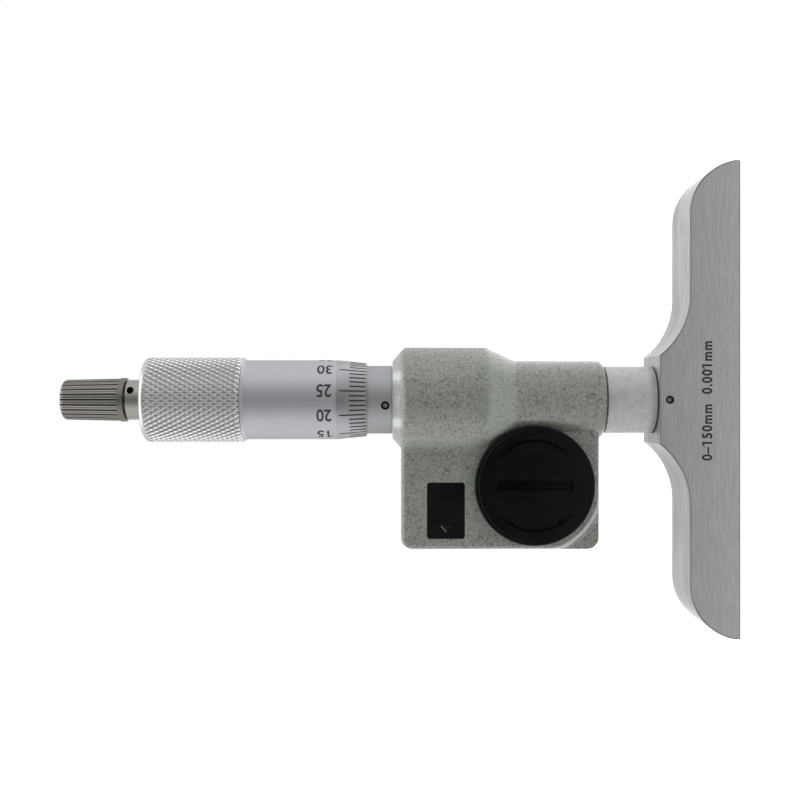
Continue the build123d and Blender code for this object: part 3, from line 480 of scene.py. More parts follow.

# On the nose a painted highlight lightens the enamel in patches, with a painted reflection of a
# lamp as a brighter streak on each side.
nose_start, nose_full = 70.3, 71.2
streak_side = 4.9
enamel_axes = add_node(enamel, "ShaderNodeSeparateXYZ", {}, {"Vector": enamel_place})
enamel_nose = add_node(
    enamel,
    "ShaderNodeMapRange",
    {"From Min": nose_start * MM, "From Max": nose_full * MM},
    {"Value": enamel_axes.outputs["Z"]},
)
enamel_clouds = add_node(
    enamel, "ShaderNodeTexNoise", {"Scale": 1 / (3 * MM), "Detail": 3.0}, {"Vector": enamel_place}
)
enamel_highlight_patches = add_node(
    enamel,
    "ShaderNodeMapRange",
    {"From Min": 0.45, "From Max": 0.6, "To Min": 0.26, "To Max": 0.5},
    {"Value": enamel_clouds.outputs["Fac"]},
)
enamel_side = add_node(
    enamel, "ShaderNodeMath", {}, {0: enamel_axes.outputs["X"]}, operation="ABSOLUTE"
)
enamel_lamp_streaks = add_node(
    enamel,
    "ShaderNodeMath",
    {},
    {
        0: enamel_highlight_patches.outputs["Result"],
        1: band(enamel, enamel_side.outputs["Value"], streak_side, 0.5, 1.9),
    },
    operation="MAXIMUM",
)
enamel_nose_highlight = add_node(
    enamel,
    "ShaderNodeMath",
    {},
    {0: enamel_nose.outputs["Result"], 1: enamel_lamp_streaks.outputs["Value"]},
    operation="MULTIPLY",
)

# A painted highlight lies on the crest of the step round the battery bay, below the cover and
# away from the spindle, and on the cone and the cove between barrel and box.
bay_x, bay_z = -18, 42.8
crest_radius, crest_half_width, crest_back = 14.4, 0.35, -3.5
enamel_crest = add_node(
    enamel,
    "ShaderNodeMath",
    {1: crest_radius * MM, 2: crest_half_width * MM},
    {0: from_axis(enamel, bay_x, bay_z)},
    operation="COMPARE",
)
enamel_crest_highlight = enamel_crest
for bound_axis, bound in (("X", bay_x), ("Y", crest_back), ("Z", bay_z)):
    enamel_within = add_node(
        enamel,
        "ShaderNodeMath",
        {1: bound * MM},
        {0: enamel_axes.outputs[bound_axis]},
        operation="LESS_THAN",
    )
    enamel_crest_highlight = add_node(
        enamel,
        "ShaderNodeMath",
        {},
        {0: enamel_crest_highlight.outputs["Value"], 1: enamel_within.outputs["Value"]},
        operation="MULTIPLY",
    )
enamel_step_highlight = add_node(
    enamel, "ShaderNodeMath", {1: 0.75}, {0: enamel_crest_highlight.outputs["Value"]}, operation="MULTIPLY"
)
cone_middle, cove_x, cove_z = 49.7, -9.3, 62
enamel_cone_highlight = band(enamel, enamel_axes.outputs["Z"], cone_middle, 2.3, 3.5)
enamel_cove_highlight = add_node(
    enamel,
    "ShaderNodeMath",
    {},
    {
        0: band(enamel, enamel_axes.outputs["X"], cove_x, 0.9, 1.9),
        1: band(enamel, enamel_axes.outputs["Z"], cove_z, 7.6, 8.6),
    },
    operation="MULTIPLY",
)
enamel_underside_sheen = add_node(
    enamel, "ShaderNodeMath", {1: 0.2}, {0: enamel_cove_highlight.outputs["Value"]}, operation="MULTIPLY"
)
enamel_barrel = add_node(
    enamel,
    "ShaderNodeMapRange",
    {"From Min": -10.5 * MM, "From Max": -7.5 * MM, "To Max": 0.24},
    {"Value": enamel_axes.outputs["X"]},
)
enamel_taper_sheen = add_node(
    enamel,
    "ShaderNodeMath",
    {},
    {0: enamel_cone_highlight, 1: enamel_barrel.outputs["Result"]},
    operation="MULTIPLY",
)
enamel_curve_highlights = add_node(
    enamel,
    "ShaderNodeMath",
    {},
    {0: enamel_taper_sheen.outputs["Value"], 1: enamel_underside_sheen.outputs["Value"]},
    operation="MAXIMUM",
)
enamel_painted_highlights = add_node(
    enamel,
    "ShaderNodeMath",
    {},
    {0: enamel_curve_highlights.outputs["Value"], 1: enamel_step_highlight.outputs["Value"]},
    operation="MAXIMUM",
)
enamel_bump = add_node(
    enamel,
    "ShaderNodeBump",
    {"Strength": 0.3, "Distance": 0.04 * MM},
    {"Height": enamel_cells.outputs["Distance"]},
)
enamel_gloss = add_node(
    enamel,
    "ShaderNodeMapRange",
    {"To Min": 0.3, "To Max": 0.55},
    {"Value": enamel_crack.outputs["Value"]},
)
join(enamel, enamel_tone.outputs[2], enamel_shader.inputs["Base Color"])
join(enamel, enamel_gloss.outputs["Result"], enamel_shader.inputs["Roughness"])
join(enamel, enamel_bump.outputs["Normal"], enamel_shader.inputs["Normal"])
tint(enamel, enamel_painted_highlights.outputs["Value"], "c4cac4")
tint(enamel, enamel_nose_highlight.outputs["Value"], "d9dddd")
dress(enamel, "housing", "barrel_set_screw")

# Gasket and ring seal: moulded black nitrile rubber, dull, with a faint dusty mottle. They
# keep water and oil out, under the bezel and under the battery cover.
nitrile, nitrile_shader = start_finish("nitrile_rubber", roughness=0.8, ior=1.52)
nitrile_dust = add_node(
    nitrile,
    "ShaderNodeTexNoise",
    {"Scale": 1 / (0.6 * MM), "Detail": 3.0},
    {"Vector": add_node(nitrile, "ShaderNodeTexCoord").outputs["Object"]},
)
nitrile_tone = add_node(
    nitrile,
    "ShaderNodeMix",
    {"A": linear("161616"), "B": linear("242424")},
    {"Factor": nitrile_dust.outputs["Fac"]},
    data_type="RGBA",
)
join(nitrile, nitrile_tone.outputs[2], nitrile_shader.inputs["Base Color"])
dress(nitrile, "front_gasket", "battery_cover_seal")


# Front: a moulded ABS frame around the window and the three buttons, with a fine spark
# grain from the mould.
def grained_plastic(name, colours, roughness, grain, relief, level=None, gleam=0.5):
    """Moulded plastic or rubber with a grain of this size and relief.

    A level is two heights along Y, and the colour that the surface has past the second.
    """
    finish, shader = start_finish(
        name, roughness=roughness, ior=1.5, specular_ior_level=gleam
    )
    place = add_node(finish, "ShaderNodeTexCoord").outputs["Object"]
    pits = add_node(
        finish, "ShaderNodeTexNoise", {"Scale": 1 / (grain * MM), "Detail": 2.0}, {"Vector": place}
    )
    smears = add_node(
        finish, "ShaderNodeTexNoise", {"Scale": 1 / (6 * MM), "Detail": 3.0}, {"Vector": place}
    )
    tone = add_node(
        finish,
        "ShaderNodeMix",
        {"A": linear(colours[0]), "B": linear(colours[1])},
        {"Factor": pits.outputs["Fac"]},
        data_type="RGBA",
    )
    if level:
        height = add_node(finish, "ShaderNodeSeparateXYZ", {}, {"Vector": place})
        beyond = add_node(
            finish,
            "ShaderNodeMapRange",
            {"From Min": level[0] * MM, "From Max": level[1] * MM},
            {"Value": height.outputs["Y"]},
        )
        tone = add_node(
            finish,
            "ShaderNodeMix",
            {"B": linear(level[2])},
            {"Factor": beyond.outputs["Result"], "A": tone.outputs[2]},
            data_type="RGBA",
        )
    gloss = add_node(
        finish,
        "ShaderNodeMapRange",
        {"From Min": 0.3, "From Max": 0.7, "To Min": roughness - 0.07, "To Max": roughness + 0.07},
        {"Value": smears.outputs["Fac"]},
    )
    bump = add_node(
        finish,
        "ShaderNodeBump",
        {"Strength": 0.5, "Distance": relief * MM},
        {"Height": pits.outputs["Fac"]},
    )
    join(finish, tone.outputs[2], shader.inputs["Base Color"])
    join(finish, gloss.outputs["Result"], shader.inputs["Roughness"])
    join(finish, bump.outputs["Normal"], shader.inputs["Normal"])
    return finish


front_abs = grained_plastic("grained_abs", ("2b2c2e", "3a3b3e"), 0.5, 0.22, 0.02)
dress(front_abs, "front_bezel")

# Window: a plate of clear acrylic in the bezel, over the display. It is moulded with polished
# faces, so that little of it shows but reflections.
acrylic, _ = start_finish(
    "clear_acrylic", base_color=linear("fafcfb"), roughness=0.03, ior=1.49, transmission_weight=1.0
)
dress(acrylic, "display_window")

# Display: liquid crystal glass over a grey-green reflector, slightly uneven. The digits are
# seven dark bars each, and read zero to three decimals.
reflector, reflector_shader = start_finish("crystal_reflector", roughness=0.25, ior=1.52)
reflector_haze = add_node(
    reflector,
    "ShaderNodeTexNoise",
    {"Scale": 1 / (5 * MM), "Detail": 1.0},
    {"Vector": add_node(reflector, "ShaderNodeTexCoord").outputs["Object"]},
)
reflector_tone = add_node(
    reflector,
    "ShaderNodeMix",
    {"A": linear("9aa392"), "B": linear("aab2a1")},
    {"Factor": reflector_haze.outputs["Fac"]},
    data_type="RGBA",
)
join(reflector, reflector_tone.outputs[2], reflector_shader.inputs["Base Color"])
dress(reflector, "display_panel")

crystal_ink, _ = start_finish("dark_crystal", base_color=linear("23272a"), roughness=0.3)
display_x, display_z, display_face = -11.8, 59, 12.015
bar_length, bar_width, bar_gap = 3.3, 0.62, 0.2
digit_pitch = 4.9
bar_places = [
    (0, bar_length, 0),
    (bar_length / 2, bar_length / 2, 90),
    (bar_length / 2, -bar_length / 2, 90),
    (0, -bar_length, 0),
    (-bar_length / 2, -bar_length / 2, 90),
    (-bar_length / 2, bar_length / 2, 90),
]
digits = bmesh.new()
for digit in range(4):
    middle = (digit - 1.5) * digit_pitch
    for across, up, turn in bar_places:
        bar = bmesh.ops.create_circle(digits, cap_ends=True, segments=6, radius=1)["verts"]
        for vert in bar:
            reach = bar_length / 2 - bar_gap - (1 - abs(vert.co.x)) * bar_width
            vert.co = Vector((reach if vert.co.x > 0 else -reach, vert.co.y * bar_width / 1.8, 0))
        bmesh.ops.rotate(digits, verts=bar, matrix=Matrix.Rotation(radians(turn), 3, "Z"))
        bmesh.ops.translate(digits, verts=bar, vec=(middle + across, up, 0))
point_radius = bar_width / 1.7
point = bmesh.ops.create_circle(digits, cap_ends=True, segments=12, radius=point_radius)["verts"]
bmesh.ops.translate(digits, verts=point, vec=(-digit_pitch, -bar_length, 0))
bmesh.ops.scale(digits, verts=digits.verts, vec=(MM, MM, MM))
stand_up(digits, -1, display_x, display_face, display_z)
add_piece("display_digits", digits, [crystal_ink], "frame")

# Circuit boards: green glass laminate, with the weave just showing through the lacquer. The
# main board is screwed to the housing's posts, and the other is the encoder's stator.
laminate, laminate_shader = start_finish("green_laminate", roughness=0.35, ior=1.55)
weave = add_node(
    laminate,
    "ShaderNodeTexChecker",
    {"Color1": linear("17512f"), "Color2": linear("1d5c38"), "Scale": 1 / (0.5 * MM)},
    {"Vector": add_node(laminate, "ShaderNodeTexCoord").outputs["Object"]},
)
join(laminate, weave.outputs["Color"], laminate_shader.inputs["Base Color"])
dress(laminate, "circuit_board", "encoder_stator")

# Spring parts, spindle, rotor and ratchet disc: bright hardened steel, finely ground, so that
# what slides and presses wears little.
bright_steel = brushed_metal(
    "bright_hardened_steel", ("a9a9aa", "c8c8c9"), 0.25, (0.3, 0.3, 0.3), 0.06, 0.004
)
dress(
    bright_steel,
    "switch_domes",
    "encoder_rotor",
    "spindle",
    "clamp_washer",
    "ratchet_spring",
    "ratchet_disc",
)

# Buttons: grey silicone rubber, moulded with soft edges and dull. Each has a white word
# printed on the bezel beside it.
silicone = grained_plastic("grey_silicone_rubber", ("5f6266", "6c6f73"), 0.62, 0.3, 0.01)
dress(silicone, "power_button", "zero_button", "mode_button")
print_ink, _ = start_finish("white_print", base_color=linear("d8d9d8"), roughness=0.55)
label_height, label_face, label_foot = 1.3, 15.015, 45.2
for button, word, word_width, across in (
    ("power", "ON/OFF", 6.0, -21.3),
    ("zero", "ZERO", 4.2, -11.8),
    ("mode", "MODE", 4.6, -2.3),
):
    label = lettering(word, word_width, label_height)
    stand_up(label, -1, across + word_width / 2, label_face, label_foot)
    add_piece(button + "_label", label, [print_ink], "frame")

# Battery, contacts and data socket: nickel plated cell, gold plated bronze contacts and a
# black moulded socket behind the data port.
nickel = brushed_metal("nickel_plated_steel", ("b4b2ac", "cfcdc7"), 0.22, (8, 8, 8), 0.05, 0.002)
dress(nickel, "battery")
gold = brushed_metal(
    "gold_plated_bronze", ("b48a3c", "d0a552"), 0.28, (0.5, 0.5, 0.5), 0.05, 0.002
)
dress(gold, "battery_base_contact", "battery_side_contact", "socket_contacts", "encoder_ribbon")
socket_plastic = grained_plastic("black_socket_plastic", ("121213", "1b1b1c"), 0.45, 0.2, 0.01)
dress(socket_plastic, "data_socket")

# Encoder bush and washer: sintered oil-bronze, brown and slightly porous. The rotor turns on
# them at the stem's end.
bronze = brushed_metal("bearing_bronze", ("8a6a3a", "a98652"), 0.4, (0.2, 0.2, 0.2), 0.08, 0.004)
dress(bronze, "rotor_bush", "thrust_washer")

# Battery cover: a threaded cap moulded in black acetal, turned with a coin in its slot. Its
# face has a fine grain, painted shade blackens the slot and the other sunken parts, and a
# painted glint lies on one side of its rim.
cover_rim_radius = 11.75
cover_acetal = grained_plastic(
    "matt_black_acetal",
    ("060607", "0b0b0c"),
    0.24,
    0.3,
    0.004,
    level=(-7.7, -7.6, "000000"),
    gleam=0.18,
)
cover_place = add_node(
    cover_acetal,
    "ShaderNodeSeparateXYZ",
    {},
    {"Vector": add_node(cover_acetal, "ShaderNodeTexCoord").outputs["Object"]},
)
cover_lit_side = add_node(
    cover_acetal,
    "ShaderNodeMapRange",
    {"From Min": 42 * MM, "From Max": 50 * MM},
    {"Value": cover_place.outputs["Z"]},
)
cover_rim = add_node(
    cover_acetal,
    "ShaderNodeMath",
    {},
    {
        0: band(
            cover_acetal, from_axis(cover_acetal, bay_x, bay_z), cover_rim_radius, 0.03, 0.12
        ),
        1: cover_lit_side.outputs["Result"],
    },
    operation="MULTIPLY",
)
tint(cover_acetal, cover_rim.outputs["Value"], "2b2b2c")
dress(cover_acetal, "battery_cover")

# Two curved arrows are sunk in the cover's face and filled matt black: each tapers to its
# tail and has a head at the other end.
arrow_black = grained_plastic(
    "matt_arrow_black", ("000000", "020202"), 0.6, 0.3, 0.004, gleam=0.05
)
arrow_radius, arrow_half_angle, arrow_face = 9.4, 41.5, -7.808
head_share, head_half_width, line_half_width = 0.12, 1.0, 0.31
arrows = bmesh.new()
for arrow_turn in (0, pi):
    arrow = bmesh.ops.create_grid(arrows, x_segments=50, y_segments=1, size=0.5)["verts"]
    for vert in arrow:
        share = vert.co.x + 0.5
        if share > 1 - head_share:
            half_width = head_half_width * (1 - share) / head_share
        else:
            half_width = line_half_width * sin(pi * (0.05 + 0.9 * share)) ** 0.5
        reach = arrow_radius + 2 * vert.co.y * half_width
        angle = arrow_turn + radians(arrow_half_angle) * (2 * share - 1)
        place = Vector((bay_x + reach * cos(angle), arrow_face, bay_z + reach * sin(angle)))
        vert.co = place * MM
bmesh.ops.recalc_face_normals(arrows, faces=arrows.faces)
if arrows.faces[:][0].normal.y > 0:
    bmesh.ops.reverse_faces(arrows, faces=arrows.faces)
add_piece("battery_cover_arrows", arrows, [arrow_black], "battery_cover")

# Data port cover: a soft black plug, pushed into the recess, with a small raised mark. The
# mark's top is painted lighter as a highlight, and a painted glint lies along one slanting side.
mark_level, glint_line = -4.78, 65.33
port_rubber = grained_plastic(
    "black_port_rubber",
    ("090909", "0f0f10"),
    0.26,
    0.3,
    0.004,
    level=(-4.77, -4.8, "1b1b1c"),
    gleam=0.22,
)
port_place = add_node(port_rubber, "ShaderNodeTexCoord").outputs["Object"]
port_depth = add_node(port_rubber, "ShaderNodeSeparateXYZ", {}, {"Vector": port_place})
port_mark = add_node(
    port_rubber,
    "ShaderNodeMath",
    {1: mark_level * MM},
    {0: port_depth.outputs["Y"]},
    operation="LESS_THAN",
)
port_slant = add_node(
    port_rubber,
    "ShaderNodeVectorMath",
    {1: (-0.625, 0, 0.781)},
    {0: port_place},
    operation="DOT_PRODUCT",
)
port_painted_glint = add_node(
    port_rubber,
    "ShaderNodeMath",
    {},
    {
        0: band(port_rubber, port_slant.outputs["Value"], glint_line, 0.02, 0.13),
        1: port_mark.outputs["Value"],
    },
    operation="MULTIPLY",
)
tint(port_rubber, port_painted_glint.outputs["Value"], "7e7e80")
dress(port_rubber, "data_port_cover")

# Sleeve: satin chromed tube. Its index line and scale are on the display side, where the
# thimble's edge is read, and show as the thimble is screwed out.
satin_chrome = brushed_metal(
    "satin_chrome", ("b3b4b8", "c0c1c5"), 0.5, (40, 40, 0.12), 0.04, 0.005
)
sleeve_chrome = brushed_metal(
    "worn_satin_chrome", ("a2a3a6", "b0b1b4"), 0.52, (40, 40, 0.12), 0.05, 0.005
)
dress(sleeve_chrome, "sleeve")


def wrap(shape, radius, turn, height):
    """Bend a flat shape, in metres, around the spindle axis: X goes up it, Y around it."""
    for vert in shape.verts:
        angle = turn - vert.co.y / (radius * MM)
        reach = radius * MM + vert.co.z
        vert.co = Vector((reach * sin(angle), -reach * cos(angle), height * MM + vert.co.x))


sleeve_scale = bmesh.new()
sleeve_scale_radius = 7.305
scale_zero, half_steps = 103.1, 51
index_start, index_past, index_width = 73.4, 0.4, 0.16
tick_half_length, long_tick_half_length, tick_half_width = 0.9, 1.5, 0.07
lines = [(index_start, scale_zero + index_past, 0.0, index_width)]
for step in range(half_steps):
    side = -tick_half_length if step % 2 else tick_half_length
    if step % 10 == 0:
        side = long_tick_half_length
    place = scale_zero - step / 2
    lines.append((place - tick_half_width, place + tick_half_width, side, abs(side) * 2))
for start, end, middle, width in lines:
    tick = bmesh.ops.create_grid(sleeve_scale, x_segments=1, y_segments=6, size=0.5 * MM)["verts"]
    bmesh.ops.scale(sleeve_scale, verts=tick, vec=(end - start, width, 1))
    bmesh.ops.translate(
        sleeve_scale, verts=tick, vec=((start + end) / 2 * MM, middle * MM, 0)
    )
wrap(sleeve_scale, sleeve_scale_radius, pi, 0)
add_piece("sleeve_scale", sleeve_scale, [etch_ink], "sleeve")

# Thimble: a chromed steel cup in one piece. Its bevelled edge is divided in 50, the band
# above is finely turned, and the grip is diamond knurled with a polished round rim. Painted
# shade darkens the bevel's chrome, and the lip beside the sleeve is given dark steel as shade.
thimble_edge, bevel_top = 78.1, 84.4
edge_radius, band_radius = 7.84, 8.5
cup_radius, seat_radius, cap_bore_radius = 7.45, 8.6, 4.9
knurl_start, knurl_end, thimble_top = 104.5, 124.6, 125.6
groove_radius, grip_rim_radius = 8.88, 9.02
hub_start, hub_top = 112.7, 123.3
taper_foot_radius, taper_top_radius = 3.92, 3.62
lip_height = 0.15


def turned_piece(outline, steps):
    """Turn a closed outline of (radius, height, edge round) points about the spindle axis."""
    shape = bmesh.new()
    corners = [shape.verts.new((radius * MM, 0, height * MM)) for radius, height, _ in outline]
    for start, end in zip(corners, corners[1:] + corners[:1]):
        shape.edges.new((start, end))
    bmesh.ops.spin(
        shape,
        geom=shape.verts[:] + shape.edges[:],
        axis=(0, 0, 1),
        steps=steps,
        angle=2 * pi,
        use_merge=True,
    )
    bmesh.ops.remove_doubles(shape, verts=shape.verts, dist=1e-7)
    bmesh.ops.recalc_face_normals(shape, faces=shape.faces)
    for radius, height, edge_round in outline:
        if edge_round:
            ring = [
                edge
                for edge in shape.edges
                if all(
                    abs(vert.co.z - height * MM) < 1e-7
                    and abs(vert.co.xy.length - radius * MM) < 1e-6
                    for vert in edge.verts
                )
            ]
            bmesh.ops.bevel(
                shape,
                geom=ring,
                offset=edge_round * MM,
                affect="EDGES",
                segments=2 if edge_round < 0.5 else 8,
                profile=0.5,
                material=-1,
            )
    return shape


polished_chrome = brushed_metal(
    "polished_chrome", ("c6c7c9", "d2d3d5"), 0.2, (40, 40, 0.1), 0.04, 0.003
)
bevel_shade_chrome = brushed_metal(
    "shaded_bevel_plating", ("a3a4a7", "b0b1b4"), 0.42, (40, 40, 0.12), 0.04, 0.005
)
thimble_body = turned_piece(
    [
        (cup_radius, thimble_edge, 0),
        (edge_radius, thimble_edge, 0.14),
        (band_radius, bevel_top, 0.1),
        (band_radius, 103.85, 0.1),
        (groove_radius, knurl_start - 0.05, 0),
        (seat_radius, knurl_start, 0),
        (seat_radius, knurl_end - 0.3, 0),
        (groove_radius, knurl_end - 0.25, 0),
        (grip_rim_radius, knurl_end, 0.08),
        (grip_rim_radius, thimble_top, 0.98),
        (cap_bore_radius, thimble_top, 0.15),
        (cap_bore_radius, hub_top, 0),
        (taper_top_radius, hub_top, 0),
        (taper_foot_radius, hub_start, 0),
        (cup_radius, hub_start, 0),
    ],
    160,
)
for face in thimble_body.faces:
    middle = face.calc_center_median()
    reach = middle.xy.length / MM
    face.material_index = int(middle.z > knurl_end * MM and reach > cap_bore_radius)
    # The bevel takes a darker chrome and its thin lip the dark screw steel, both as painted shade.
    if thimble_edge * MM < middle.z < bevel_top * MM and reach > edge_radius + 0.01:
        face.material_index = 2 if middle.z > (thimble_edge + lip_height) * MM else 3
thimble = add_piece(
    "thimble_body",
    thimble_body,
    [satin_chrome, polished_chrome, bevel_shade_chrome, screw_steel],
    "spindle",
)
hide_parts("thimble")

# Knurl: two crossed sets of grooves rolled into the grip leave diamonds 1.17 mm wide and
# 2.0 mm long, with small rounded flats on top.
knurl_around, knurl_rows = 49, 10
side_width, side_rise, tops_radius = 0.16, 0.15, 8.98
shoulder_width, shoulder_rise, corner_round = 0.06, 0.03, 0.17
knurl = bmesh.new()
row_height = (knurl_end - knurl_start) / knurl_rows
start = knurl.verts.new((groove_radius * MM, 0, knurl_start * MM))
seam = bmesh.ops.extrude_vert_indiv(knurl, verts=[start])
for row in range(knurl_rows):
    tip = seam["verts"]
    bmesh.ops.translate(knurl, verts=tip, vec=(0, 0, row_height * MM))
    if row < knurl_rows - 1:
        seam = bmesh.ops.extrude_vert_indiv(knurl, verts=tip)
bmesh.ops.spin(
    knurl,
    geom=knurl.verts[:] + knurl.edges[:],
    axis=(0, 0, 1),
    steps=knurl_around,
    angle=2 * pi,
    use_merge=True,
)
bmesh.ops.remove_doubles(knurl, verts=knurl.verts, dist=1e-7)
bmesh.ops.recalc_face_normals(knurl, faces=knurl.faces)
grid_lines = [edge for edge in knurl.edges if not edge.is_boundary]
centres = bmesh.ops.poke(knurl, faces=knurl.faces)["verts"]
for vert in centres:
    out = groove_radius * MM / vert.co.xy.length
    vert.co = Vector((vert.co.x * out, vert.co.y * out, vert.co.z))
bmesh.ops.dissolve_edges(knurl, edges=grid_lines, use_verts=False)
bmesh.ops.inset_individual(
    knurl, faces=knurl.faces, thickness=side_width * MM, depth=side_rise * MM
)
tops = [face for face in knurl.faces if face.calc_center_median().xy.length > tops_radius * MM]
bmesh.ops.inset_individual(
    knurl, faces=tops, thickness=shoulder_width * MM, depth=shoulder_rise * MM
)
for face in tops:
    face.material_index = 1
bmesh.ops.bevel(
    knurl,
    geom=list({vert for face in tops for vert in face.verts}),
    offset=corner_round * MM,
    affect="VERTICES",
    segments=1,
    profile=0.5,
    material=-1,
)
ends = [edge for edge in knurl.edges if edge.is_boundary]
skirt = bmesh.ops.extrude_edge_only(knurl, edges=ends)["geom"]
skirt_verts = [item for item in skirt if isinstance(item, bmesh.types.BMVert)]
skirt_share = band_radius / groove_radius
bmesh.ops.scale(knurl, verts=skirt_verts, vec=(skirt_share, skirt_share, 1))
bmesh.ops.recalc_face_normals(knurl, faces=knurl.faces)
# The flanks take a lighter chrome as painted highlight, and the flat tops a darker one as painted
# shade.
knurl_lit_chrome = brushed_metal(
    "burnished_lit_knurl_flanks", ("dedfe1", "eaebec"), 0.16, (0.3, 0.3, 0.3), 0.06, 0.006
)
knurl_shaded_tops = brushed_metal(
    "matt_shaded_knurl_flats", ("8b8c8f", "a2a3a6"), 0.5, (0.3, 0.3, 0.3), 0.06, 0.006
)
grip = add_piece("thimble_knurl", knurl, [knurl_lit_chrome, knurl_shaded_tops], "spindle", crease=30)
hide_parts("thimble")

# Graduations: 50 filled lines on the bevel, every fifth longer, and upright numbers by fives
# on the band. The number 23.2 faces the battery side when the spindle is fully in.
divisions = 50
facing_number = 23.2
line_width, line_length, long_line_length, line_start = 0.33, 3.4, 5.5, 0.12
above_metal = 0.012
bevel_slope = (band_radius - edge_radius) / (bevel_top - thimble_edge)
graduations = bmesh.new()
for number in range(divisions):
    length = line_length if number % 5 else long_line_length
    line = bmesh.ops.create_grid(graduations, x_segments=2, y_segments=1, size=0.5 * MM)["verts"]
    bmesh.ops.scale(graduations, verts=line, vec=(length, line_width, 1))
    bmesh.ops.translate(graduations, verts=line, vec=((line_start + length / 2) * MM, 0, 0))
    turn = (number - facing_number) * 2 * pi / divisions
    for vert in line:
        reach = (edge_radius + above_metal) * MM + vert.co.x * bevel_slope
        angle = turn - vert.co.y / reach
        vert.co = Vector((reach * sin(angle), -reach * cos(angle), thimble_edge * MM + vert.co.x))
add_piece("thimble_graduations", graduations, [etch_ink], "spindle")

digit_width, pair_width, figure_height, figure_foot = 1.5, 3.15, 2.8, 85.3
figure_strips = 6
numbers = bmesh.new()
for number in range(0, divisions, 5):
    figure_width = pair_width if number > 5 else digit_width
    figure = lettering(str(number), figure_width, figure_height, weight=0.016)
    for cut in range(1, figure_strips):
        bmesh.ops.bisect_plane(
            figure,
            geom=figure.verts[:] + figure.edges[:] + figure.faces[:],
            plane_co=(0, cut * figure_height / figure_strips * MM, 0),
            plane_no=(0, 1, 0),
        )
    bmesh.ops.translate(figure, verts=figure.verts, vec=(0, -figure_height / 2 * MM, 0))
    turn = (number - facing_number) * 2 * pi / divisions
    wrap(figure, band_radius + above_metal, turn, figure_foot)
    printed = bpy.data.meshes.new("figure")
    figure.to_mesh(printed)
    figure.free()
    numbers.from_mesh(printed)
    bpy.data.meshes.remove(printed)
add_piece("thimble_numbers", numbers, [etch_ink], "spindle")

# Clamp cap: turned from steel, dark satin with a smooth side. It is screwed into the
# thimble's top and carries the ratchet's post.
cap_metal = brushed_metal(
    "dark_satin_steel", ("9b9994", "a9a7a2"), 0.24, (40, 40, 0.1), 0.04, 0.004
)
dress(cap_metal, "rod_clamp_cap")

# Spanner holes: the blind holes in the sleeve and in the cap are drilled, so their floors
# are dished. A black lining sits in each as painted shade, and the sleeve's hole has a lighter
# floor disc as a painted glint.
hole_shade_black = grained_plastic(
    "painted_hole_shade", ("020202", "050505"), 0.25, 0.2, 0.004, gleam=0.1
)
hole_depth, lining_wall = 0.8, 0.05
for hole_name, hole_radius, glint_radius, place, hole_body in (
    ("sleeve_hole_shade", 0.87, 0.5, (-1.2, -7.19, 74.1), "sleeve"),
    ("cap_hole_shade", 0.74, 0, (2.0, -3.8, 128.26), "clamp_cap"),
):
    lining = turned_piece(
        [
            (0, -hole_depth, 0),
            (hole_radius, -hole_depth, 0),
            (hole_radius, 0, 0),
            (hole_radius - lining_wall, 0, 0),
            (hole_radius - lining_wall, -0.6, 0),
            (hole_radius * 0.5, -0.72, 0),
            (0, -0.74, 0),
        ],
        32,
    )
    for face in lining.faces:
        middle = face.calc_center_median()
        face.material_index = int(middle.z > -0.75 * MM and middle.xy.length < glint_radius * MM)
    bmesh.ops.rotate(lining, verts=lining.verts, matrix=Matrix.Rotation(pi / 2, 3, "X"))
    bmesh.ops.translate(lining, verts=lining.verts, vec=Vector(place) * MM)
    add_piece(hole_name, lining, [hole_shade_black, bright_steel], hole_body)

# Ratchet knob: hard anodised aluminium, dark grey, turned and milled with 24 flutes. The
# flutes are painted darker as shade, with a painted highlight along the edges beside them.
flute_count = 24
flange_top, flutes_full = 130.95, 131.1
knob_metal, knob_shader = start_finish("dark_anodised_aluminium", metallic=1.0, roughness=0.32)
knob_place = add_node(knob_metal, "ShaderNodeTexCoord").outputs["Object"]
knob_axes = add_node(knob_metal, "ShaderNodeSeparateXYZ", {}, {"Vector": knob_place})
knob_angle = add_node(
    knob_metal,
    "ShaderNodeMath",
    {},
    {0: knob_axes.outputs["Y"], 1: knob_axes.outputs["X"]},
    operation="ARCTAN2",
)
knob_period = add_node(
    knob_metal,
    "ShaderNodeMath",
    {1: flute_count / (2 * pi)},
    {0: knob_angle.outputs["Value"]},
    operation="MULTIPLY",
)
knob_half = add_node(
    knob_metal, "ShaderNodeMath", {1: 0.5}, {0: knob_period.outputs["Value"]}, operation="PINGPONG"
)
knob_flute_shading = add_node(knob_metal, "ShaderNodeValToRGB", {}, {"Fac": knob_half.outputs["Value"]})
flute_shading_ramp = knob_flute_shading.color_ramp
flute_shading_ramp.elements[0].position, flute_shading_ramp.elements[0].color = 0.17, linear("413e3a")
flute_shading_ramp.elements[1].position, flute_shading_ramp.elements[1].color = 0.24, linear("d6d3cc")
land = flute_shading_ramp.elements.new(0.34)
land.color = linear("74716b")
knob_height = add_node(
    knob_metal,
    "ShaderNodeMapRange",
    {"From Min": flange_top * MM, "From Max": flutes_full * MM},
    {"Value": knob_axes.outputs["Z"]},
)
knob_tone = add_node(
    knob_metal,
    "ShaderNodeMix",
    {"A": linear("7a7771")},
    {"Factor": knob_height.outputs["Result"], "B": knob_flute_shading.outputs["Color"]},
    data_type="RGBA",
)
knob_lines = add_node(
    knob_metal,
    "ShaderNodeMapping",
    {"Scale": (1 / (30 * MM), 1 / (30 * MM), 1 / (0.12 * MM))},
    {"Vector": knob_place},
)
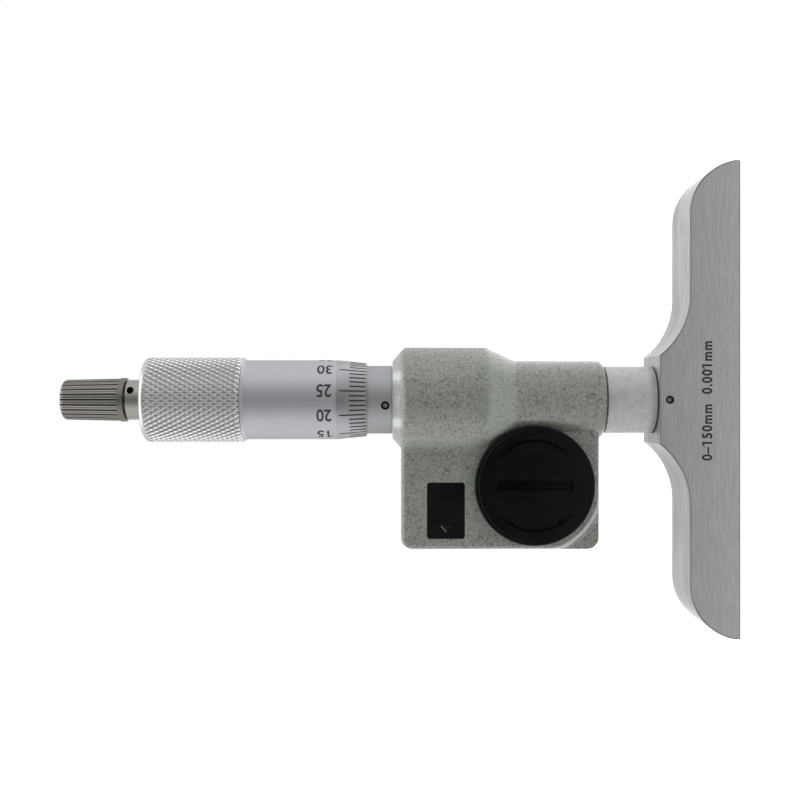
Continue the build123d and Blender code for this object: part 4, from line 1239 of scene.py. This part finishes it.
knob_grain = add_node(
    knob_metal,
    "ShaderNodeTexNoise",
    {"Scale": 1.0, "Detail": 3.0},
    {"Vector": knob_lines.outputs["Vector"]},
)
knob_gloss = add_node(
    knob_metal,
    "ShaderNodeMapRange",
    {"To Min": 0.24, "To Max": 0.42},
    {"Value": knob_grain.outputs["Fac"]},
)
join(knob_metal, knob_tone.outputs[2], knob_shader.inputs["Base Color"])
join(knob_metal, knob_gloss.outputs["Result"], knob_shader.inputs["Roughness"])
dress(knob_metal, "ratchet_knob")

# Studio: a white floor under the base, a white room and soft light from both sides and above.
# Grey cards before it, on the table and behind it show only in its reflections.
paper, paper_shader = start_finish("white_paper", base_color=linear("f0f0f0"), roughness=0.9)
paper_rays = add_node(paper, "ShaderNodeLightPath")
paper_seen = add_node(
    paper,
    "ShaderNodeMath",
    {},
    {0: paper_rays.outputs["Is Camera Ray"], 1: paper_rays.outputs["Is Glossy Ray"]},
    operation="MAXIMUM",
)
paper_lift = add_node(
    paper, "ShaderNodeMath", {1: 0.7}, {0: paper_seen.outputs["Value"]}, operation="MULTIPLY"
)
paper_shader.inputs["Emission Color"].default_value = (1, 1, 1, 1)
join(paper, paper_lift.outputs["Value"], paper_shader.inputs["Emission Strength"])
floor_mesh = bmesh.new()
floor_half_size = 4.0
bmesh.ops.create_grid(floor_mesh, x_segments=1, y_segments=1, size=floor_half_size)
floor_data = bpy.data.meshes.new("floor")
floor_mesh.to_mesh(floor_data)
floor_mesh.free()
floor_data.materials.append(paper)
floor = bpy.data.objects.new("floor", floor_data)
bpy.context.collection.objects.link(floor)

fade_start, fade_end, fade_height = 0.07, 0.5, 0.05
for card_name, card_centre, card_turn, card_half_size, dark, light in (
    ("lens_card", (0, -0.45, 0.07), (pi / 2, 0, 0), 0.44, 0.08, 0.9),
    ("table_card", (0, -0.4481, 0.0001), (0, 0, 0), 0.44, 0.05, 0.88),
    ("far_card", (-0.05, 0.45, 0.07), (pi / 2, 0, 0), 2.0, 0.52, 0.88),
):
    card_paint = bpy.data.materials.new(card_name + "_grey")
    card_paint.use_nodes = True
    card_paint.node_tree.nodes.clear()
    card_place = add_node(card_paint, "ShaderNodeTexCoord")
    card_radius = add_node(
        card_paint,
        "ShaderNodeVectorMath",
        {1: (card_centre[0], card_centre[1], fade_height)},
        {0: card_place.outputs["Object"]},
        operation="DISTANCE",
    )
    card_fade = add_node(
        card_paint,
        "ShaderNodeMapRange",
        {"From Min": fade_start, "From Max": fade_end, "To Min": dark, "To Max": light},
        {"Value": card_radius.outputs["Value"]},
    )
    card_light = add_node(
        card_paint, "ShaderNodeEmission", {}, {"Strength": card_fade.outputs["Result"]}
    )
    add_node(
        card_paint, "ShaderNodeOutputMaterial", {}, {"Surface": card_light.outputs["Emission"]}
    )
    card_mesh = bmesh.new()
    bmesh.ops.create_grid(card_mesh, x_segments=1, y_segments=1, size=card_half_size)
    card_matrix = Matrix.Translation(card_centre) @ Euler(card_turn).to_matrix().to_4x4()
    bmesh.ops.transform(card_mesh, verts=card_mesh.verts, matrix=card_matrix)
    card_data = bpy.data.meshes.new(card_name)
    card_mesh.to_mesh(card_data)
    card_mesh.free()
    card_data.materials.append(card_paint)
    card = bpy.data.objects.new(card_name, card_data)
    bpy.context.collection.objects.link(card)
    card.visible_camera = False
    card.visible_diffuse = False
    card.visible_shadow = False
    card.visible_transmission = False

scene = bpy.context.scene
scene.view_settings.view_transform = "Standard"
world = bpy.data.worlds.new("white_room")
scene.world = world
world.use_nodes = True
backdrop = world.node_tree.nodes["Background"]
backdrop.inputs["Color"].default_value = (1, 1, 1, 1)
room_rays = add_node(world, "ShaderNodeLightPath")
room_shown = add_node(
    world,
    "ShaderNodeMath",
    {},
    {0: room_rays.outputs["Is Camera Ray"], 1: room_rays.outputs["Is Glossy Ray"]},
    operation="MAXIMUM",
)
room_clear = add_node(
    world,
    "ShaderNodeMath",
    {},
    {0: room_shown.outputs["Value"], 1: room_rays.outputs["Is Transmission Ray"]},
    operation="MAXIMUM",
)
room_level = add_node(
    world, "ShaderNodeMapRange", {"To Min": 0.27}, {"Value": room_clear.outputs["Value"]}
)
join(world, room_level.outputs["Result"], backdrop.inputs["Strength"])

lamp_target = Vector((0, 0, 0.07))
for lamp_name, place, width, depth, watts in (
    ("soft_light_left", (-0.7, -0.15, 0.15), 0.8, 1.0, 3.1),
    ("soft_light_right", (0.7, -0.15, 0.15), 0.8, 1.0, 3.1),
    ("soft_light_top", (0.0, -0.15, 0.9), 1.6, 1.6, 7.0),
):
    lamp_data = bpy.data.lights.new(lamp_name, "AREA")
    lamp_data.shape = "RECTANGLE"
    lamp_data.size, lamp_data.size_y = width, depth
    lamp_data.energy = watts
    lamp = bpy.data.objects.new(lamp_name, lamp_data)
    bpy.context.collection.objects.link(lamp)
    lamp.location = place
    lamp.visible_glossy = lamp_name == "soft_light_top"
    aim = lamp_target - Vector(place)
    lamp.rotation_euler = aim.to_track_quat("-Z", "Y").to_euler()

# Camera: where the photograph was taken from, with up in the picture towards +X.
camera_x, camera_y, camera_z = -0.06, -243.3, 71.0
camera_data = bpy.data.cameras.new("camera")
camera_data.sensor_width = 36
camera_data.lens = 50.8
camera_data.clip_start, camera_data.clip_end = 0.01, 20
camera = bpy.data.objects.new("camera", camera_data)
bpy.context.collection.objects.link(camera)
camera.matrix_world = Matrix(
    ((0, 1, 0, camera_x * MM), (0, 0, -1, camera_y * MM), (-1, 0, 0, camera_z * MM), (0, 0, 0, 1))
)
scene.camera = camera
